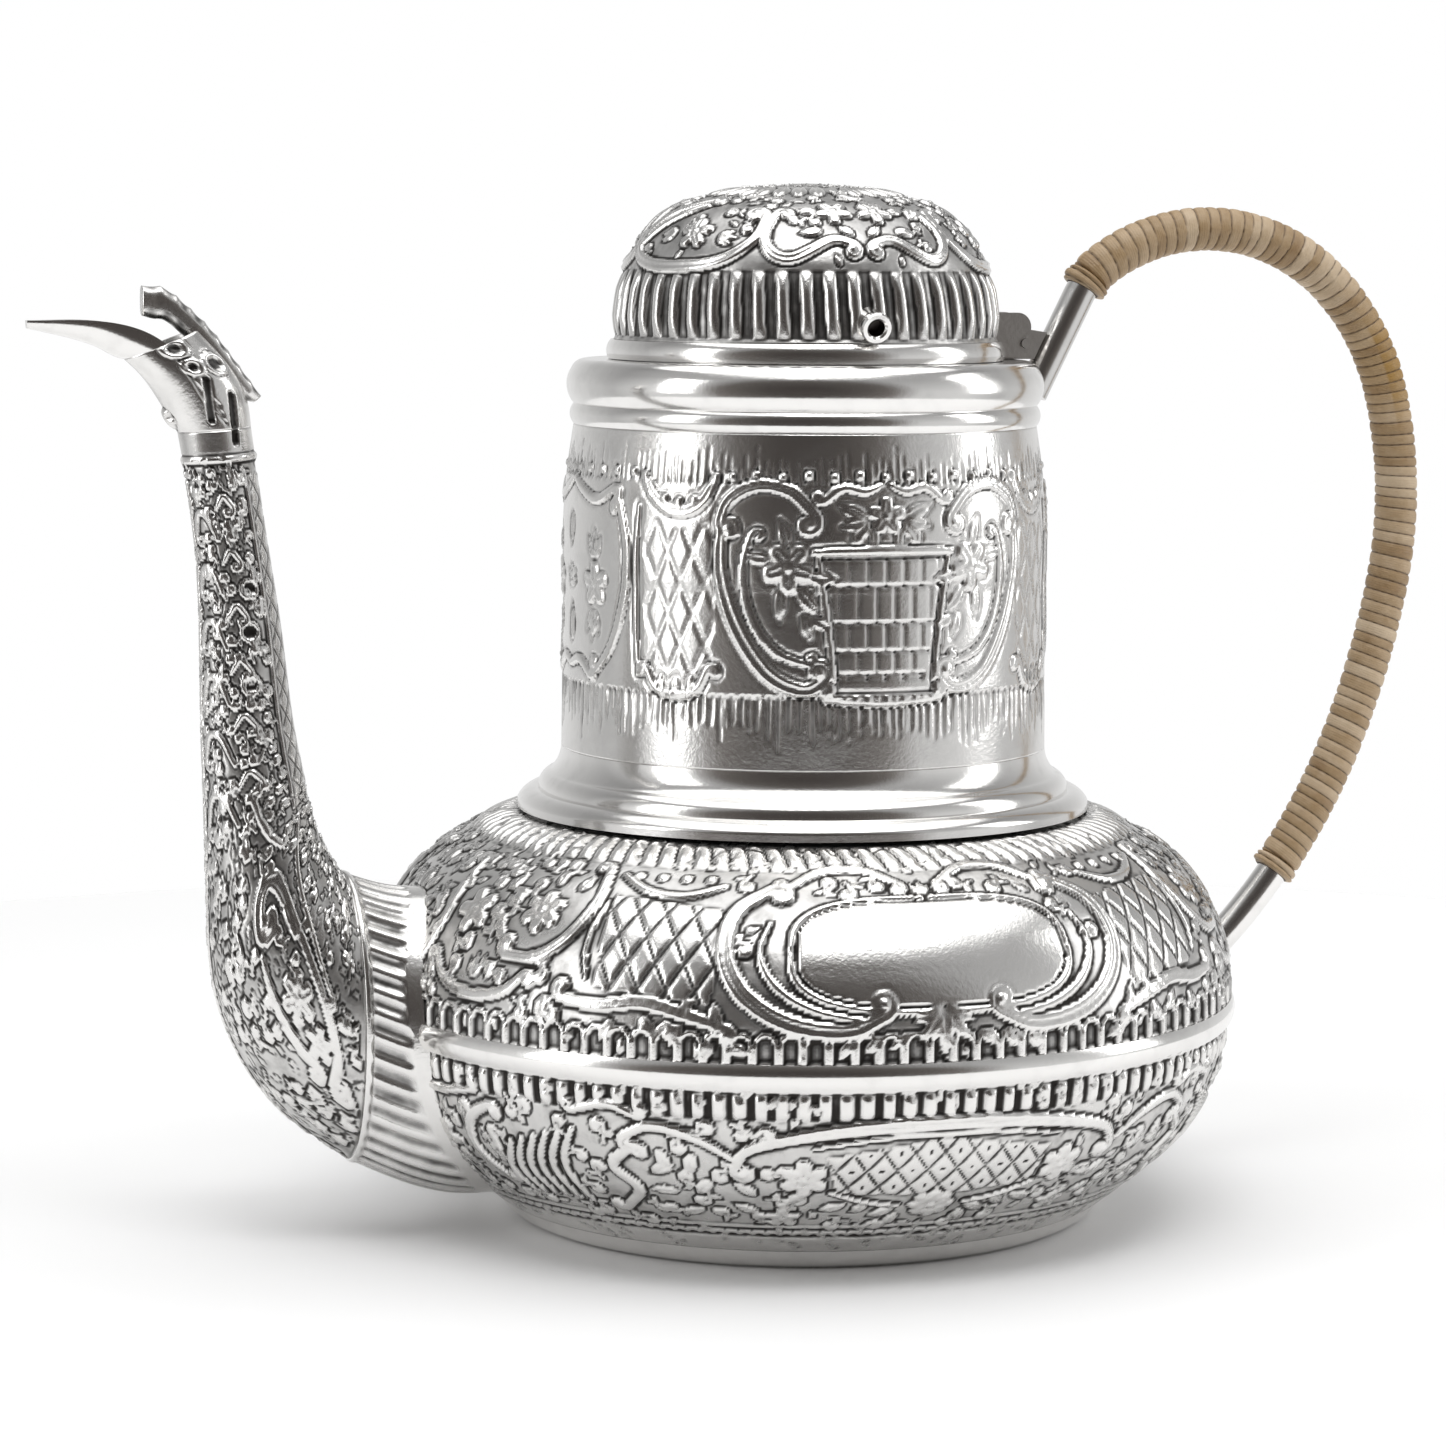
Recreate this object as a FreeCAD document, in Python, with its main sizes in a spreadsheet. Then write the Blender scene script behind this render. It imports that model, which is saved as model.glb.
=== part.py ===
import FreeCAD, Part
import math
import os
import Sketcher

# A silver coffee pot with a swan-neck spout, a hinged domed lid and a cane-wrapped loop handle.
# Millimetres, +Z up. The origin is on the pot's axis at the underside of its foot. The spout
# points along -X and the handle along +X, so the plane Y = 0 cuts both in half.

Vector = FreeCAD.Vector
Rotation = FreeCAD.Rotation
Placement = FreeCAD.Placement

# Driving dimensions: alias, value in millimetres (or degrees), meaning.
DRIVING = [
    ("sheetGauge", 1.1, "thickness of the raised silver sheet"),
    ("footRadius", 57.0, "radius of the base pan where the bowl is soldered on"),
    ("footTop", 3.8, "height of that seam"),
    ("bowlRadius", 79.4, "radius of the lower bowl at its mouth"),
    ("seamHeight", 39.1, "height of the joint between bowl and shoulder"),
    ("bandRadius", 80.9, "outer radius of the polished band over that joint"),
    ("bandBase", 36.8, "lower edge of the band"),
    ("bandTop", 41.4, "upper edge of the band"),
    ("shoulderRadius", 79.7, "radius of the shoulder shell at the joint"),
    ("shoulderTop", 75.6, "height at which the shoulder shell ends, under the step moulding"),
    ("stepRadius", 53.0, "radius of the step moulding's flange"),
    ("stepBase", 75.5, "underside of the step moulding's flange"),
    ("neckRadius", 44.9, "radius of the neck drum at its foot"),
    ("neckBase", 86.8, "height of the neck drum's foot"),
    ("neckTop", 146.2, "height of the neck drum's top"),
    ("collarRadius", 44.0, "largest radius of the rolled mouth collar"),
    ("collarTop", 158.0, "height of the mouth's flat seat"),
    ("rimRadius", 36.7, "radius of the lid's rim"),
    ("rimBase", 158.15, "underside of the lid's rim, just clear of the seat"),
    ("rimTop", 161.6, "top of the lid's rim"),
    ("domeRadius", 35.4, "radius of the lid's dome at its foot"),
    ("domeTop", 190.2, "height of the lid's crown"),
    ("bezelRadius", 33.2, "outer radius of the bezel that locates the lid in the mouth"),
    ("bezelBase", 153.6, "lower edge of the bezel"),
    ("ventRadius", 2.8, "outer radius of the steam vent"),
    ("ventBore", 1.4, "bore radius of the steam vent"),
    ("ventHeight", 165.2, "height of the steam vent where it leaves the dome"),
    ("ventReach", 39.4, "distance of the vent's mouth from the pot's axis"),
    ("ventDroop", 17.0, "angle by which the vent points below level, degrees"),
    ("hingeReach", 41.8, "distance of the lid's hinge pin from the pot's axis"),
    ("hingeHeight", 161.0, "height of the hinge pin"),
    ("knuckleRadius", 2.7, "radius of the hinge knuckles"),
    ("knuckleWidth", 4.0, "width of the middle knuckle, across Y"),
    ("lugInner", 2.2, "distance of each lid lug's inner face from the plane Y = 0"),
    ("lugOuter", 4.4, "distance of each lid lug's outer face from the plane Y = 0"),
    ("pinRadius", 0.9, "radius of the hinge pin"),
    ("pinClearance", 0.05, "radial running clearance of the lugs on the pin"),
    ("pinLength", 9.8, "length of the hinge pin"),
    ("spoutStand", 113.0, "distance of the spout's front from the pot's axis"),
    ("spoutRise", 146.0, "height of the joint between the spout and its cast head"),
    ("spoutGauge", 1.0, "wall of the spout"),
    ("passageDepth", 26.0, "height of the oval opening from the body into the spout"),
    ("passageWidth", 20.0, "width of that opening"),
    ("lipGauge", 0.9, "wall of the pouring lip"),
    ("crestWidth", 4.4, "width of the crest, across Y"),
    ("rodRadius", 3.0, "radius of the handle's silver rod"),
    ("wrapRadius", 4.15, "outer radius of the cane wrapping"),
    ("bindingRadius", 4.5, "outer radius of the tight turns that end the wrapping"),
    ("bindingLength", 2.6, "length of those end turns"),
]

doc = FreeCAD.newDocument("CoffeePot")
sheet = doc.addObject("Spreadsheet::Sheet", "Sizes")
size = {}
for row, (alias, value, meaning) in enumerate(DRIVING, start=1):
    sheet.set(f"A{row}", alias)
    sheet.set(f"B{row}", str(value))
    sheet.set(f"C{row}", meaning)
    sheet.setAlias(f"B{row}", alias)
    size[alias] = value
doc.recompute()


# ---------------------------------------------------------------- outlines and turned pieces

def scaled(alias, value):
    """An expression that equals value now and follows the named cell."""
    return f"Sizes.{alias} * {value / size[alias]:.7f}"


def between(low, high, value):
    """An expression for a height that keeps its place between two named heights."""
    if low is None:
        return scaled(high, value)
    share = (value - size[low]) / (size[high] - size[low])
    return f"Sizes.{low} + (Sizes.{high} - Sizes.{low}) * {share:.7f}"


class Corner:
    """A point of an outline: where it is now and the expressions that bind it."""

    def __init__(self, across, up, across_rule, up_rule):
        self.across = across
        self.up = up
        self.across_rule = across_rule
        self.up_rule = up_rule

    def moved(self, shift_across, shift_up, gauge):
        """The same point pushed by a number of sheet thicknesses."""
        return Corner(
            self.across + shift_across * size[gauge],
            self.up + shift_up * size[gauge],
            f"{self.across_rule} + Sizes.{gauge} * {shift_across:.7f}",
            f"{self.up_rule} + Sizes.{gauge} * {shift_up:.7f}",
        )


def arc_centre(a, b, c):
    """Centre of the circle through three points given as (across, up)."""
    d = 2 * (a[0] * (b[1] - c[1]) + b[0] * (c[1] - a[1]) + c[0] * (a[1] - b[1]))
    sa, sb, sc = (p[0] ** 2 + p[1] ** 2 for p in (a, b, c))
    return (
        (sa * (b[1] - c[1]) + sb * (c[1] - a[1]) + sc * (a[1] - b[1])) / d,
        (sa * (c[0] - b[0]) + sb * (a[0] - c[0]) + sc * (b[0] - a[0])) / d,
    )


def left_normals(start, via, end):
    """Unit normals on the left of a run at its start, middle and end."""
    if via is None:
        length = math.hypot(end[0] - start[0], end[1] - start[1])
        normal = (-(end[1] - start[1]) / length, (end[0] - start[0]) / length)
        return normal, normal, normal
    centre = arc_centre(start, via, end)
    turn = (via[0] - start[0]) * (end[1] - via[1]) - (via[1] - start[1]) * (end[0] - via[0])
    sign = 1 if turn > 0 else -1
    found = []
    for p in (start, via, end):
        radius = math.hypot(p[0] - centre[0], p[1] - centre[1])
        found.append((sign * (centre[0] - p[0]) / radius, sign * (centre[1] - p[1]) / radius))
    return tuple(found)


def end_shift(normal):
    """The shift of a sheet's end, squared off so that the edge is level or upright."""
    if abs(normal[0]) > abs(normal[1]):
        return 1 / normal[0], 0.0
    return 0.0, 1 / normal[1]


def read_outline(points, place):
    """Corners and middle points of an outline. A point (r, z) ends a straight run, and
    (r_mid, z_mid, r, z) ends an arc."""
    corners = [place(*points[0])]
    middles = []
    for point in points[1:]:
        middles.append(place(*point[:2]) if len(point) == 4 else None)
        corners.append(place(*point[-2:]))
    return corners, middles


def thicken(corners, middles, gauge):
    """The closed outline of a sheet whose outer face is the given open outline."""
    shifts = []
    middle_shifts = []
    for i, middle in enumerate(middles):
        ends = [(p.across, p.up) for p in (corners[i], corners[i + 1])]
        via = (middle.across, middle.up) if middle else None
        shifts.append(left_normals(ends[0], via, ends[1]))
        middle_shifts.append(shifts[-1][1])
    inner = [corners[0].moved(*end_shift(shifts[0][0]), gauge)]
    for i in range(1, len(corners) - 1):
        a, b = shifts[i - 1][2], shifts[i][0]
        share = 1 + a[0] * b[0] + a[1] * b[1]
        inner.append(corners[i].moved((a[0] + b[0]) / share, (a[1] + b[1]) / share, gauge))
    last = end_shift(shifts[-1][2]) if corners[-1].across > 0 else (0.0, -1.0)
    inner.append(corners[-1].moved(*last, gauge))
    inner_middles = [
        middle.moved(*shift, gauge) if middle else None
        for middle, shift in zip(middles, middle_shifts)
    ]
    return corners + inner[::-1], middles + [None] + inner_middles[::-1] + [None]


def draw(sketch, corners, middles):
    """Draw a closed outline in a sketch, every corner and arc bound to the sheet."""
    runs = []
    for i, middle in enumerate(middles):
        a, b = corners[i], corners[(i + 1) % len(corners)]
        start, end = Vector(a.across, a.up, 0), Vector(b.across, b.up, 0)
        if middle is None:
            index = sketch.addGeometry(Part.LineSegment(start, end), False)
        else:
            via = Vector(middle.across, middle.up, 0)
            index = sketch.addGeometry(Part.Arc(start, via, end), False)
        first = 1 if (sketch.getPoint(index, 1) - start).Length < 1e-6 else 2
        runs.append((index, first, 3 - first))
    for i, (index, first, last) in enumerate(runs):
        following = runs[(i + 1) % len(runs)]
        sketch.addConstraint(
            Sketcher.Constraint("Coincident", index, last, following[0], following[1])
        )
        pin(sketch, index, first, corners[i])
        if middles[i] is not None:
            middle = middles[i]
            mark = sketch.addGeometry(Part.Point(Vector(middle.across, middle.up, 0)), True)
            pin(sketch, mark, 1, middle)
            sketch.addConstraint(Sketcher.Constraint("PointOnObject", mark, 1, index))


def pin(sketch, index, end, corner):
    """Bind one point of a sketch to its two expressions."""
    for kind, value, rule, axis in (
        ("DistanceX", corner.across, corner.across_rule, -2),
        ("DistanceY", corner.up, corner.up_rule, -1),
    ):
        if abs(value) < 1e-9:
            sketch.addConstraint(Sketcher.Constraint("PointOnObject", index, end, axis))
            continue
        made = sketch.addConstraint(Sketcher.Constraint(kind, -1, 1, index, end, value))
        sketch.setExpression(f"Constraints[{made}]", rule)


def upright_sketch(body, name):
    """A sketch on the body's own XZ plane."""
    plane = next(f for f in body.Origin.OriginFeatures if f.Role == "XZ_Plane")
    sketch = body.newObject("Sketcher::SketchObject", name)
    sketch.AttachmentSupport = [(plane, "")]
    sketch.MapMode = "FlatFace"
    doc.recompute()
    return sketch


def turned(label, radius, low, high, points, gauge=None):
    """A body turned about the Z axis: a sheet of the given gauge, or solid without one."""
    body = doc.addObject("PartDesign::Body", f"{label}_body")
    body.Label = label
    sketch = upright_sketch(body, f"{label}_outline")
    corners, middles = read_outline(
        points, lambda r, z: Corner(r, z, scaled(radius, r), between(low, high, z))
    )
    if gauge:
        corners, middles = thicken(corners, middles, gauge)
    else:
        middles = middles + [None]
    draw(sketch, corners, middles)
    feature = body.newObject("PartDesign::Revolution", f"{label}_turning")
    feature.Profile = sketch
    feature.ReferenceAxis = (sketch, ["V_Axis"])
    feature.Angle = 360
    doc.recompute()
    return body


def slab(label, points, width):
    """A body cut from plate: an outline in the XZ plane, padded evenly to both sides of it."""
    body = doc.addObject("PartDesign::Body", f"{label}_body")
    body.Label = label
    sketch = upright_sketch(body, f"{label}_outline")
    corners, middles = read_outline(
        points, lambda x, z: Corner(x, z, scaled("hingeReach", x), scaled("hingeHeight", z))
    )
    draw(sketch, corners, middles + [None])
    feature = body.newObject("PartDesign::Pad", f"{label}_plate")
    feature.Profile = sketch
    feature.Midplane = True
    feature.setExpression("Length", width)
    doc.recompute()
    return body


def combine(kind, name, base, tool, label=None):
    """Cut, fuse or intersect two pieces."""
    made = doc.addObject(f"Part::{kind}", name)
    made.Base = base
    made.Tool = tool
    if label:
        base.Label = f"{label}_blank"
        made.Label = label
    doc.recompute()
    return made


def cylinder(name, radius, length, base, direction):
    """A cylinder from base along direction, its radius and length bound to the sheet."""
    made = doc.addObject("Part::Cylinder", name)
    made.setExpression("Radius", radius)
    made.setExpression("Height", length)
    made.Placement = Placement(base, Rotation(Vector(0, 0, 1), direction))
    doc.recompute()
    return made


# ---------------------------------------------------------------- the pot's raised shells

BOWL = [(57.0, 3.8), (65.4, 10.5, 72.2, 17.2), (77.5, 26.6, 79.4, 39.1)]
SHOULDER = [
    (79.7, 39.1),
    (79.6, 48.0, 76.8, 56.8),
    (71.6, 64.6, 64.0, 70.4),
    (58.0, 73.4, 50.5, 75.6),
]


def make_shells():
    turned(
        "base_pan", "footRadius", None, "footTop",
        [(0, 0), (52.6, 0), (55.2, 1.4, 57.0, 3.8)], "sheetGauge",
    )
    bowl = turned("lower_bowl", "bowlRadius", "footTop", "seamHeight", BOWL, "sheetGauge")
    shoulder = turned(
        "shoulder_shell", "shoulderRadius", "seamHeight", "shoulderTop", SHOULDER, "sheetGauge",
    )
    turned(
        "neck_step_moulding", "stepRadius", "stepBase", "neckBase",
        [
            (53.0, 75.5), (53.0, 76.9), (51.6, 78.5, 49.2, 79.1),
            (48.7, 80.9, 46.9, 82.2), (45.6, 84.0, 44.9, 86.8),
        ],
        "sheetGauge",
    )
    turned(
        "neck_drum", "neckRadius", "neckBase", "neckTop",
        [(44.9, 86.8), (44.5, 118.0), (44.2, 134.8, 43.2, 142.8), (42.7, 146.2)], "sheetGauge",
    )
    turned(
        "mouth_collar", "collarRadius", "neckTop", "collarTop",
        [
            (42.7, 146.2), (43.4, 148.1, 42.7, 149.9), (44.0, 153.4, 43.1, 156.4),
            (42.1, 157.6, 40.2, 158.0), (34.4, 158.0), (34.4, 151.6),
        ],
        "sheetGauge",
    )
    return bowl, shoulder


def make_envelope():
    """The filled outside of the body, which the fittings soldered to it are cut against."""
    outline = [(0, 3.8)] + BOWL + SHOULDER + [(0, 75.6)]
    return turned("body_envelope", "bowlRadius", "footTop", "shoulderTop", outline)


# The cutter of the opening from the body into the spout: where it starts on X, the height of
# its middle, and how far it reaches outwards.
PASSAGE_START = -60.0
PASSAGE_HEIGHT = 38.0
PASSAGE_CUT = 30.0


def make_passage(bowl, shoulder):
    """The oval opening from the body into the spout, through both shells at their joint."""
    oval = doc.addObject("Part::Ellipse", "passage_oval")
    oval.setExpression("MajorRadius", "Sizes.passageDepth / 2")
    oval.setExpression("MinorRadius", "Sizes.passageWidth / 2")
    upright = Rotation(Vector(0, 0, 1), Vector(0, 1, 0), Vector(-1, 0, 0), "XYZ")
    oval.Placement = Placement(Vector(PASSAGE_START, 0, PASSAGE_HEIGHT), upright)
    cutter = doc.addObject("Part::Extrusion", "passage_cutter")
    cutter.Base = oval
    cutter.DirMode = "Custom"
    cutter.Dir = Vector(-1, 0, 0)
    cutter.LengthFwd = PASSAGE_CUT
    cutter.Solid = True
    doc.recompute()
    combine("Cut", "lower_bowl_cut", bowl, cutter, "lower_bowl")
    combine("Cut", "shoulder_shell_cut", shoulder, cutter, "shoulder_shell")


# ---------------------------------------------------------------- the lid and its hinge

# How far inside the dome the vent's tube starts, and how far above its height at the dome.
VENT_ROOT = 4.0
VENT_ROOT_RISE = 0.8


def make_lid(pin_bore):
    rim = turned(
        "lid_rim", "rimRadius", "rimBase", "rimTop",
        [(33.2, 158.15), (36.4, 158.15), (36.7, 159.4), (36.5, 160.7), (35.9, 161.6), (33.2, 161.6)],
    )
    dome = turned(
        "lid_dome", "domeRadius", "rimTop", "domeTop",
        [
            (35.4, 161.6), (34.9, 168.6, 33.2, 176.0),
            (29.2, 182.3, 22.6, 186.6), (12.4, 189.4, 2.0, 190.2), (0, 190.2),
        ],
        "sheetGauge",
    )
    turned(
        "lid_bezel", "bezelRadius", "bezelBase", "rimTop",
        [(33.2, 153.6), (33.2, 161.0)], "sheetGauge",
    )
    droop = math.radians(size["ventDroop"])
    along = Vector(0, -math.cos(droop), -math.sin(droop))
    root = Vector(0, VENT_ROOT - size["domeRadius"], size["ventHeight"] + VENT_ROOT_RISE)
    length = f"Sizes.ventReach - Sizes.domeRadius + {VENT_ROOT}"
    tube = cylinder("vent_tube", "Sizes.ventRadius", length, root, along)
    bore = cylinder("vent_bore", "Sizes.ventBore", f"{length} + 2", root - along, along)
    crown = turned(
        "lid_envelope", "domeRadius", "rimBase", "domeTop",
        [
            (0, 158.15), (35.4, 158.15), (35.4, 161.6), (34.9, 168.6, 33.2, 176.0),
            (29.2, 182.3, 22.6, 186.6), (12.4, 189.4, 2.0, 190.2), (0, 190.2),
        ],
    )
    hollow_tube = combine("Cut", "vent_hollow", tube, bore)
    combine("Cut", "steam_vent", hollow_tube, crown, "steam_vent")
    combine("Cut", "lid_dome_cut", dome, bore, "lid_dome")

    lug_plate = slab(
        "lug_plate",
        [
            (35.0, 158.5), (41.8, 158.3), (44.5, 161.0, 42.9, 163.5),
            (42.2, 165.9, 39.9, 166.7), (33.0, 166.7),
        ],
        "Sizes.lugOuter * 2",
    )
    lid_round = doc.addObject("Part::Fuse", "lid_round")
    lid_round.Base = crown
    lid_round.Tool = rim
    middle = doc.addObject("Part::Box", "lug_gap")
    middle.Length = 20
    middle.Height = 20
    middle.setExpression("Width", "Sizes.lugInner * 2")
    middle.setExpression("Placement.Base.x", "Sizes.hingeReach - 12")
    middle.setExpression("Placement.Base.y", "-Sizes.lugInner")
    middle.setExpression("Placement.Base.z", "Sizes.hingeHeight - 10")
    fitted = combine("Cut", "lugs_fitted", lug_plate, lid_round)
    split = combine("Cut", "lugs_split", fitted, middle)
    combine("Cut", "lid_hinge_lugs", split, pin_bore, "lid_hinge_lugs")


def make_hinge():
    """The fixed middle knuckle, the pin, and the running bore for the lid's lugs."""
    across = Vector(0, 1, 0)
    ends = []
    for name, radius in (
        ("hinge_pin", "Sizes.pinRadius"),
        ("lug_bore", "Sizes.pinRadius + Sizes.pinClearance"),
    ):
        base = Vector(size["hingeReach"], -size["pinLength"] / 2, size["hingeHeight"])
        ends.append(cylinder(name, radius, "Sizes.pinLength", base, across))
    pin_rod, lug_bore = ends
    pin_rod.Label = "hinge_pin"
    knuckle = slab(
        "knuckle_plate",
        [
            (38.6, 158.05), (44.6, 158.05), (47.1, 163.0), (44.6, 163.4), (41.8, 163.7),
            (39.9, 162.9, 39.1, 161.0),
        ],
        "Sizes.knuckleWidth",
    )
    combine("Cut", "hinge_block", knuckle, pin_rod, "hinge_block")
    return lug_bore


# ---------------------------------------------------------------- the spout

# Sections of the spout: the point on its inner, handle-side line, the point on its outer line,
# and half its width across Y.
SOCKET_SECTIONS = [
    ((-56.0, 63.0), (-56.0, 6.4), 21.5),
    ((-69.0, 63.0), (-69.0, 6.6), 21.3),
    ((-78.5, 63.5), (-78.5, 9.6), 20.0),
    ((-87.5, 66.3), (-87.5, 14.0), 18.0),
]
DUCT_SECTIONS = [
    ((-87.5, 66.3), (-87.5, 14.0), 18.0),
    ((-89.4, 68.8), (-98.3, 22.5), 17.2),
    ((-91.1, 71.8), (-106.6, 33.7), 15.6),
    ((-92.4, 75.0), (-111.0, 46.0), 13.4),
    ((-93.5, 79.0), (-112.1, 60.0), 11.2),
    ((-94.5, 84.0), (-112.3, 75.0), 9.7),
    ((-96.3, 93.1), (-112.7, 90.0), 8.2),
    ((-98.4, 110.0), (-112.9, 109.0), 7.2),
    ((-100.9, 126.5), (-113.6, 125.5), 6.3),
    ((-103.7, 146.5), (-116.6, 145.5), 6.2),
]
HEAD_SECTIONS = [
    ((-103.7, 146.5), (-116.6, 145.5), 6.2),
    ((-104.6, 152.2), (-119.4, 150.2), 6.4),
    ((-108.0, 158.2), (-122.6, 155.0), 6.2),
    ((-112.8, 163.7), (-126.0, 158.4), 5.2),
]
# Rings of the pouring lip, an open trough: the middle of its open edge, half its width, and the
# way down to its keel.
LIP_RINGS = [
    ((-119.4, 161.05), 5.2, (-6.6, -2.65)),
    ((-123.6, 163.5), 4.7, (-4.6, -4.4)),
    ((-129.4, 164.9), 3.8, (-1.9, -4.2)),
    ((-136.2, 165.2), 2.8, (-0.4, -2.9)),
    ((-142.9, 165.1), 1.2, (0.0, -1.4)),
]
HALF_STEPS = 10
RING_COUNT = 15


def oval(name, inner, outer, half_width, wall=None):
    """An elliptical section whose long axis runs from the inner to the outer line."""
    made = doc.addObject("Part::Ellipse", name)
    long_axis = Vector(outer[0] - inner[0], 0, outer[1] - inner[1])
    less = f" - Sizes.{wall}" if wall else ""
    made.setExpression("MajorRadius", scaled("spoutStand", long_axis.Length / 2) + less)
    made.setExpression("MinorRadius", scaled("spoutStand", half_width) + less)
    across = Vector(0, 1, 0)
    turn = Rotation(long_axis, across, long_axis.cross(across), "XYZ")
    made.Placement.Rotation = turn
    made.setExpression("Placement.Base.x", scaled("spoutStand", (inner[0] + outer[0]) / 2))
    made.setExpression("Placement.Base.z", scaled("spoutRise", (inner[1] + outer[1]) / 2))
    return made


def lofted(name, ovals):
    made = doc.addObject("Part::Loft", name)
    made.Sections = ovals
    made.Solid = True
    made.Ruled = False
    doc.recompute()
    return made


def half_ring(centre, first, second, less):
    """Points of half an ellipse, from one end of its first axis round to the other end."""
    first = first * (1 - less / first.Length)
    second = second * (1 - less / second.Length)
    angles = [math.pi * i / HALF_STEPS for i in range(HALF_STEPS + 1)]
    return [centre + first * math.cos(a) + second * math.sin(a) for a in angles]


def borders(surfaces, lines, edge):
    """The ruled strip between two sheets along one of their four borders."""
    edges = []
    for surface in surfaces:
        place = surface.bounds()[edge if lines == "uIso" else 2 + edge]
        edges.append(getattr(surface, lines)(place).toShape())
    return Part.makeRuledSurface(*edges)


def smoothed(rings, count):
    """Evenly spaced rings on the smooth curves through the given ones."""
    places = [0.0]
    for before, after in zip(rings, rings[1:]):
        places.append(places[-1] + (after[0] - before[0]).Length)
    curves = []
    for part in range(3):
        curve = Part.BSplineCurve()
        curve.interpolate(Points=[ring[part] for ring in rings], Parameters=places)
        curves.append(curve)
    steps = [places[-1] * i / (count - 1) for i in range(count)]
    return [tuple(curve.value(step) for curve in curves) for step in steps]


def shell(label, rings, gauge, sides):
    """A bent tube of sheet metal: half of it for one side, the whole of it for two."""
    rings = smoothed(rings, RING_COUNT)
    faces = []
    for side in sides:
        surfaces = []
        for less in (0.0, gauge):
            surface = Part.BSplineSurface()
            surface.interpolate(
                [half_ring(centre, first, second * side, less) for centre, first, second in rings]
            )
            surfaces.append(surface)
            faces.append(surface.toShape())
        faces += [borders(surfaces, "uIso", edge) for edge in range(2)]
        if len(sides) == 1:
            faces += [borders(surfaces, "vIso", edge) for edge in range(2)]
    skin = Part.makeShell(faces)
    skin.sewShape()
    made = doc.addObject("Part::Feature", label)
    made.Label = label
    made.Shape = Part.makeSolid(skin)
    return made


def tube_rings(sections):
    """The centre and the two half axes of each section of the spout."""
    rings = []
    for inner, outer, half_width in sections:
        centre = Vector((inner[0] + outer[0]) / 2, 0, (inner[1] + outer[1]) / 2)
        long_axis = Vector((outer[0] - inner[0]) / 2, 0, (outer[1] - inner[1]) / 2)
        rings.append((centre, long_axis, Vector(0, half_width, 0)))
    return rings


def duct(name, sections, wall):
    """The outside and the inside of a tapering tube."""
    outside = [oval(f"{name}_out_{i}", *s) for i, s in enumerate(sections)]
    inside = [oval(f"{name}_in_{i}", *s, wall) for i, s in enumerate(sections)]
    return lofted(f"{name}_outside", outside), lofted(f"{name}_inside", inside)


def make_spout(envelope):
    socket_outside, socket_inside = duct("socket", SOCKET_SECTIONS, "spoutGauge")
    socket = combine("Cut", "socket_hollow", socket_outside, socket_inside)
    combine("Cut", "spout_socket", socket, envelope, "spout_socket")

    wall = sheet.spoutGauge
    shell("spout_left_shell", tube_rings(DUCT_SECTIONS), wall, [-1])
    shell("spout_right_shell", tube_rings(DUCT_SECTIONS), wall, [1])
    shell("spout_head", tube_rings(HEAD_SECTIONS), wall, [-1, 1])
    lip_rings = [
        (Vector(edge[0], 0, edge[1]), Vector(0, half_width, 0), Vector(keel[0], 0, keel[1]))
        for edge, half_width, keel in LIP_RINGS
    ]
    shell("pouring_lip", lip_rings, sheet.lipGauge, [1])
    head_outside = lofted(
        "head_outside", [oval(f"head_oval_{i}", *s) for i, s in enumerate(HEAD_SECTIONS)]
    )

    crest_points = [
        (-122.9, 166.6), (-122.7, 171.4), (-118.6, 171.2), (-110.6, 163.9, -101.6, 151.6),
        (-103.2, 150.6), (-111.7, 162.5, -119.2, 168.2), (-119.8, 166.4),
    ]
    crest = doc.addObject("PartDesign::Body", "crest_body")
    sketch = upright_sketch(crest, "crest_outline")
    corners, middles = read_outline(
        crest_points, lambda x, z: Corner(x, z, scaled("spoutStand", x), scaled("spoutRise", z))
    )
    draw(sketch, corners, middles + [None])
    pad = crest.newObject("PartDesign::Pad", "crest_plate")
    pad.Profile = sketch
    pad.Midplane = True
    pad.setExpression("Length", "Sizes.crestWidth")
    doc.recompute()
    combine("Cut", "spout_crest", crest, head_outside, "spout_crest")
    return socket_outside


def make_band(socket_outside):
    """The polished wire over the body's joint, which stops at the spout's socket. It is clear
    of both shells by the thickness of a film of solder."""
    wire = turned(
        "equator_band", "bandRadius", "bandBase", "bandTop",
        [
            (79.46, 36.8), (79.95, 36.8), (80.9, 39.1, 80.3, 41.4), (80.03, 41.4),
            (80.03, 39.1), (79.46, 38.95),
        ],
    )
    wire.Label = "band_wire"
    combine("Cut", "band_open", wire, socket_outside, "equator_band")


# ---------------------------------------------------------------- the handle

HANDLE_START = (44.9, 151.55)
HANDLE_HEADING = 63.1
# The handle's centre line from the collar over the top and down to the shoulder, as a straight
# run and then arcs that turn towards the body: (radius, turn in degrees).
HANDLE_RUN = 20.75
HANDLE_ARCS = [(15.5, 28.0), (37.4, 78.45), (43.8, 31.1), (81.3, 25.6), (156.0, 12.2), (116.0, 25.0)]
WRAP_START = 24.6
WRAP_END = 199.8


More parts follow.
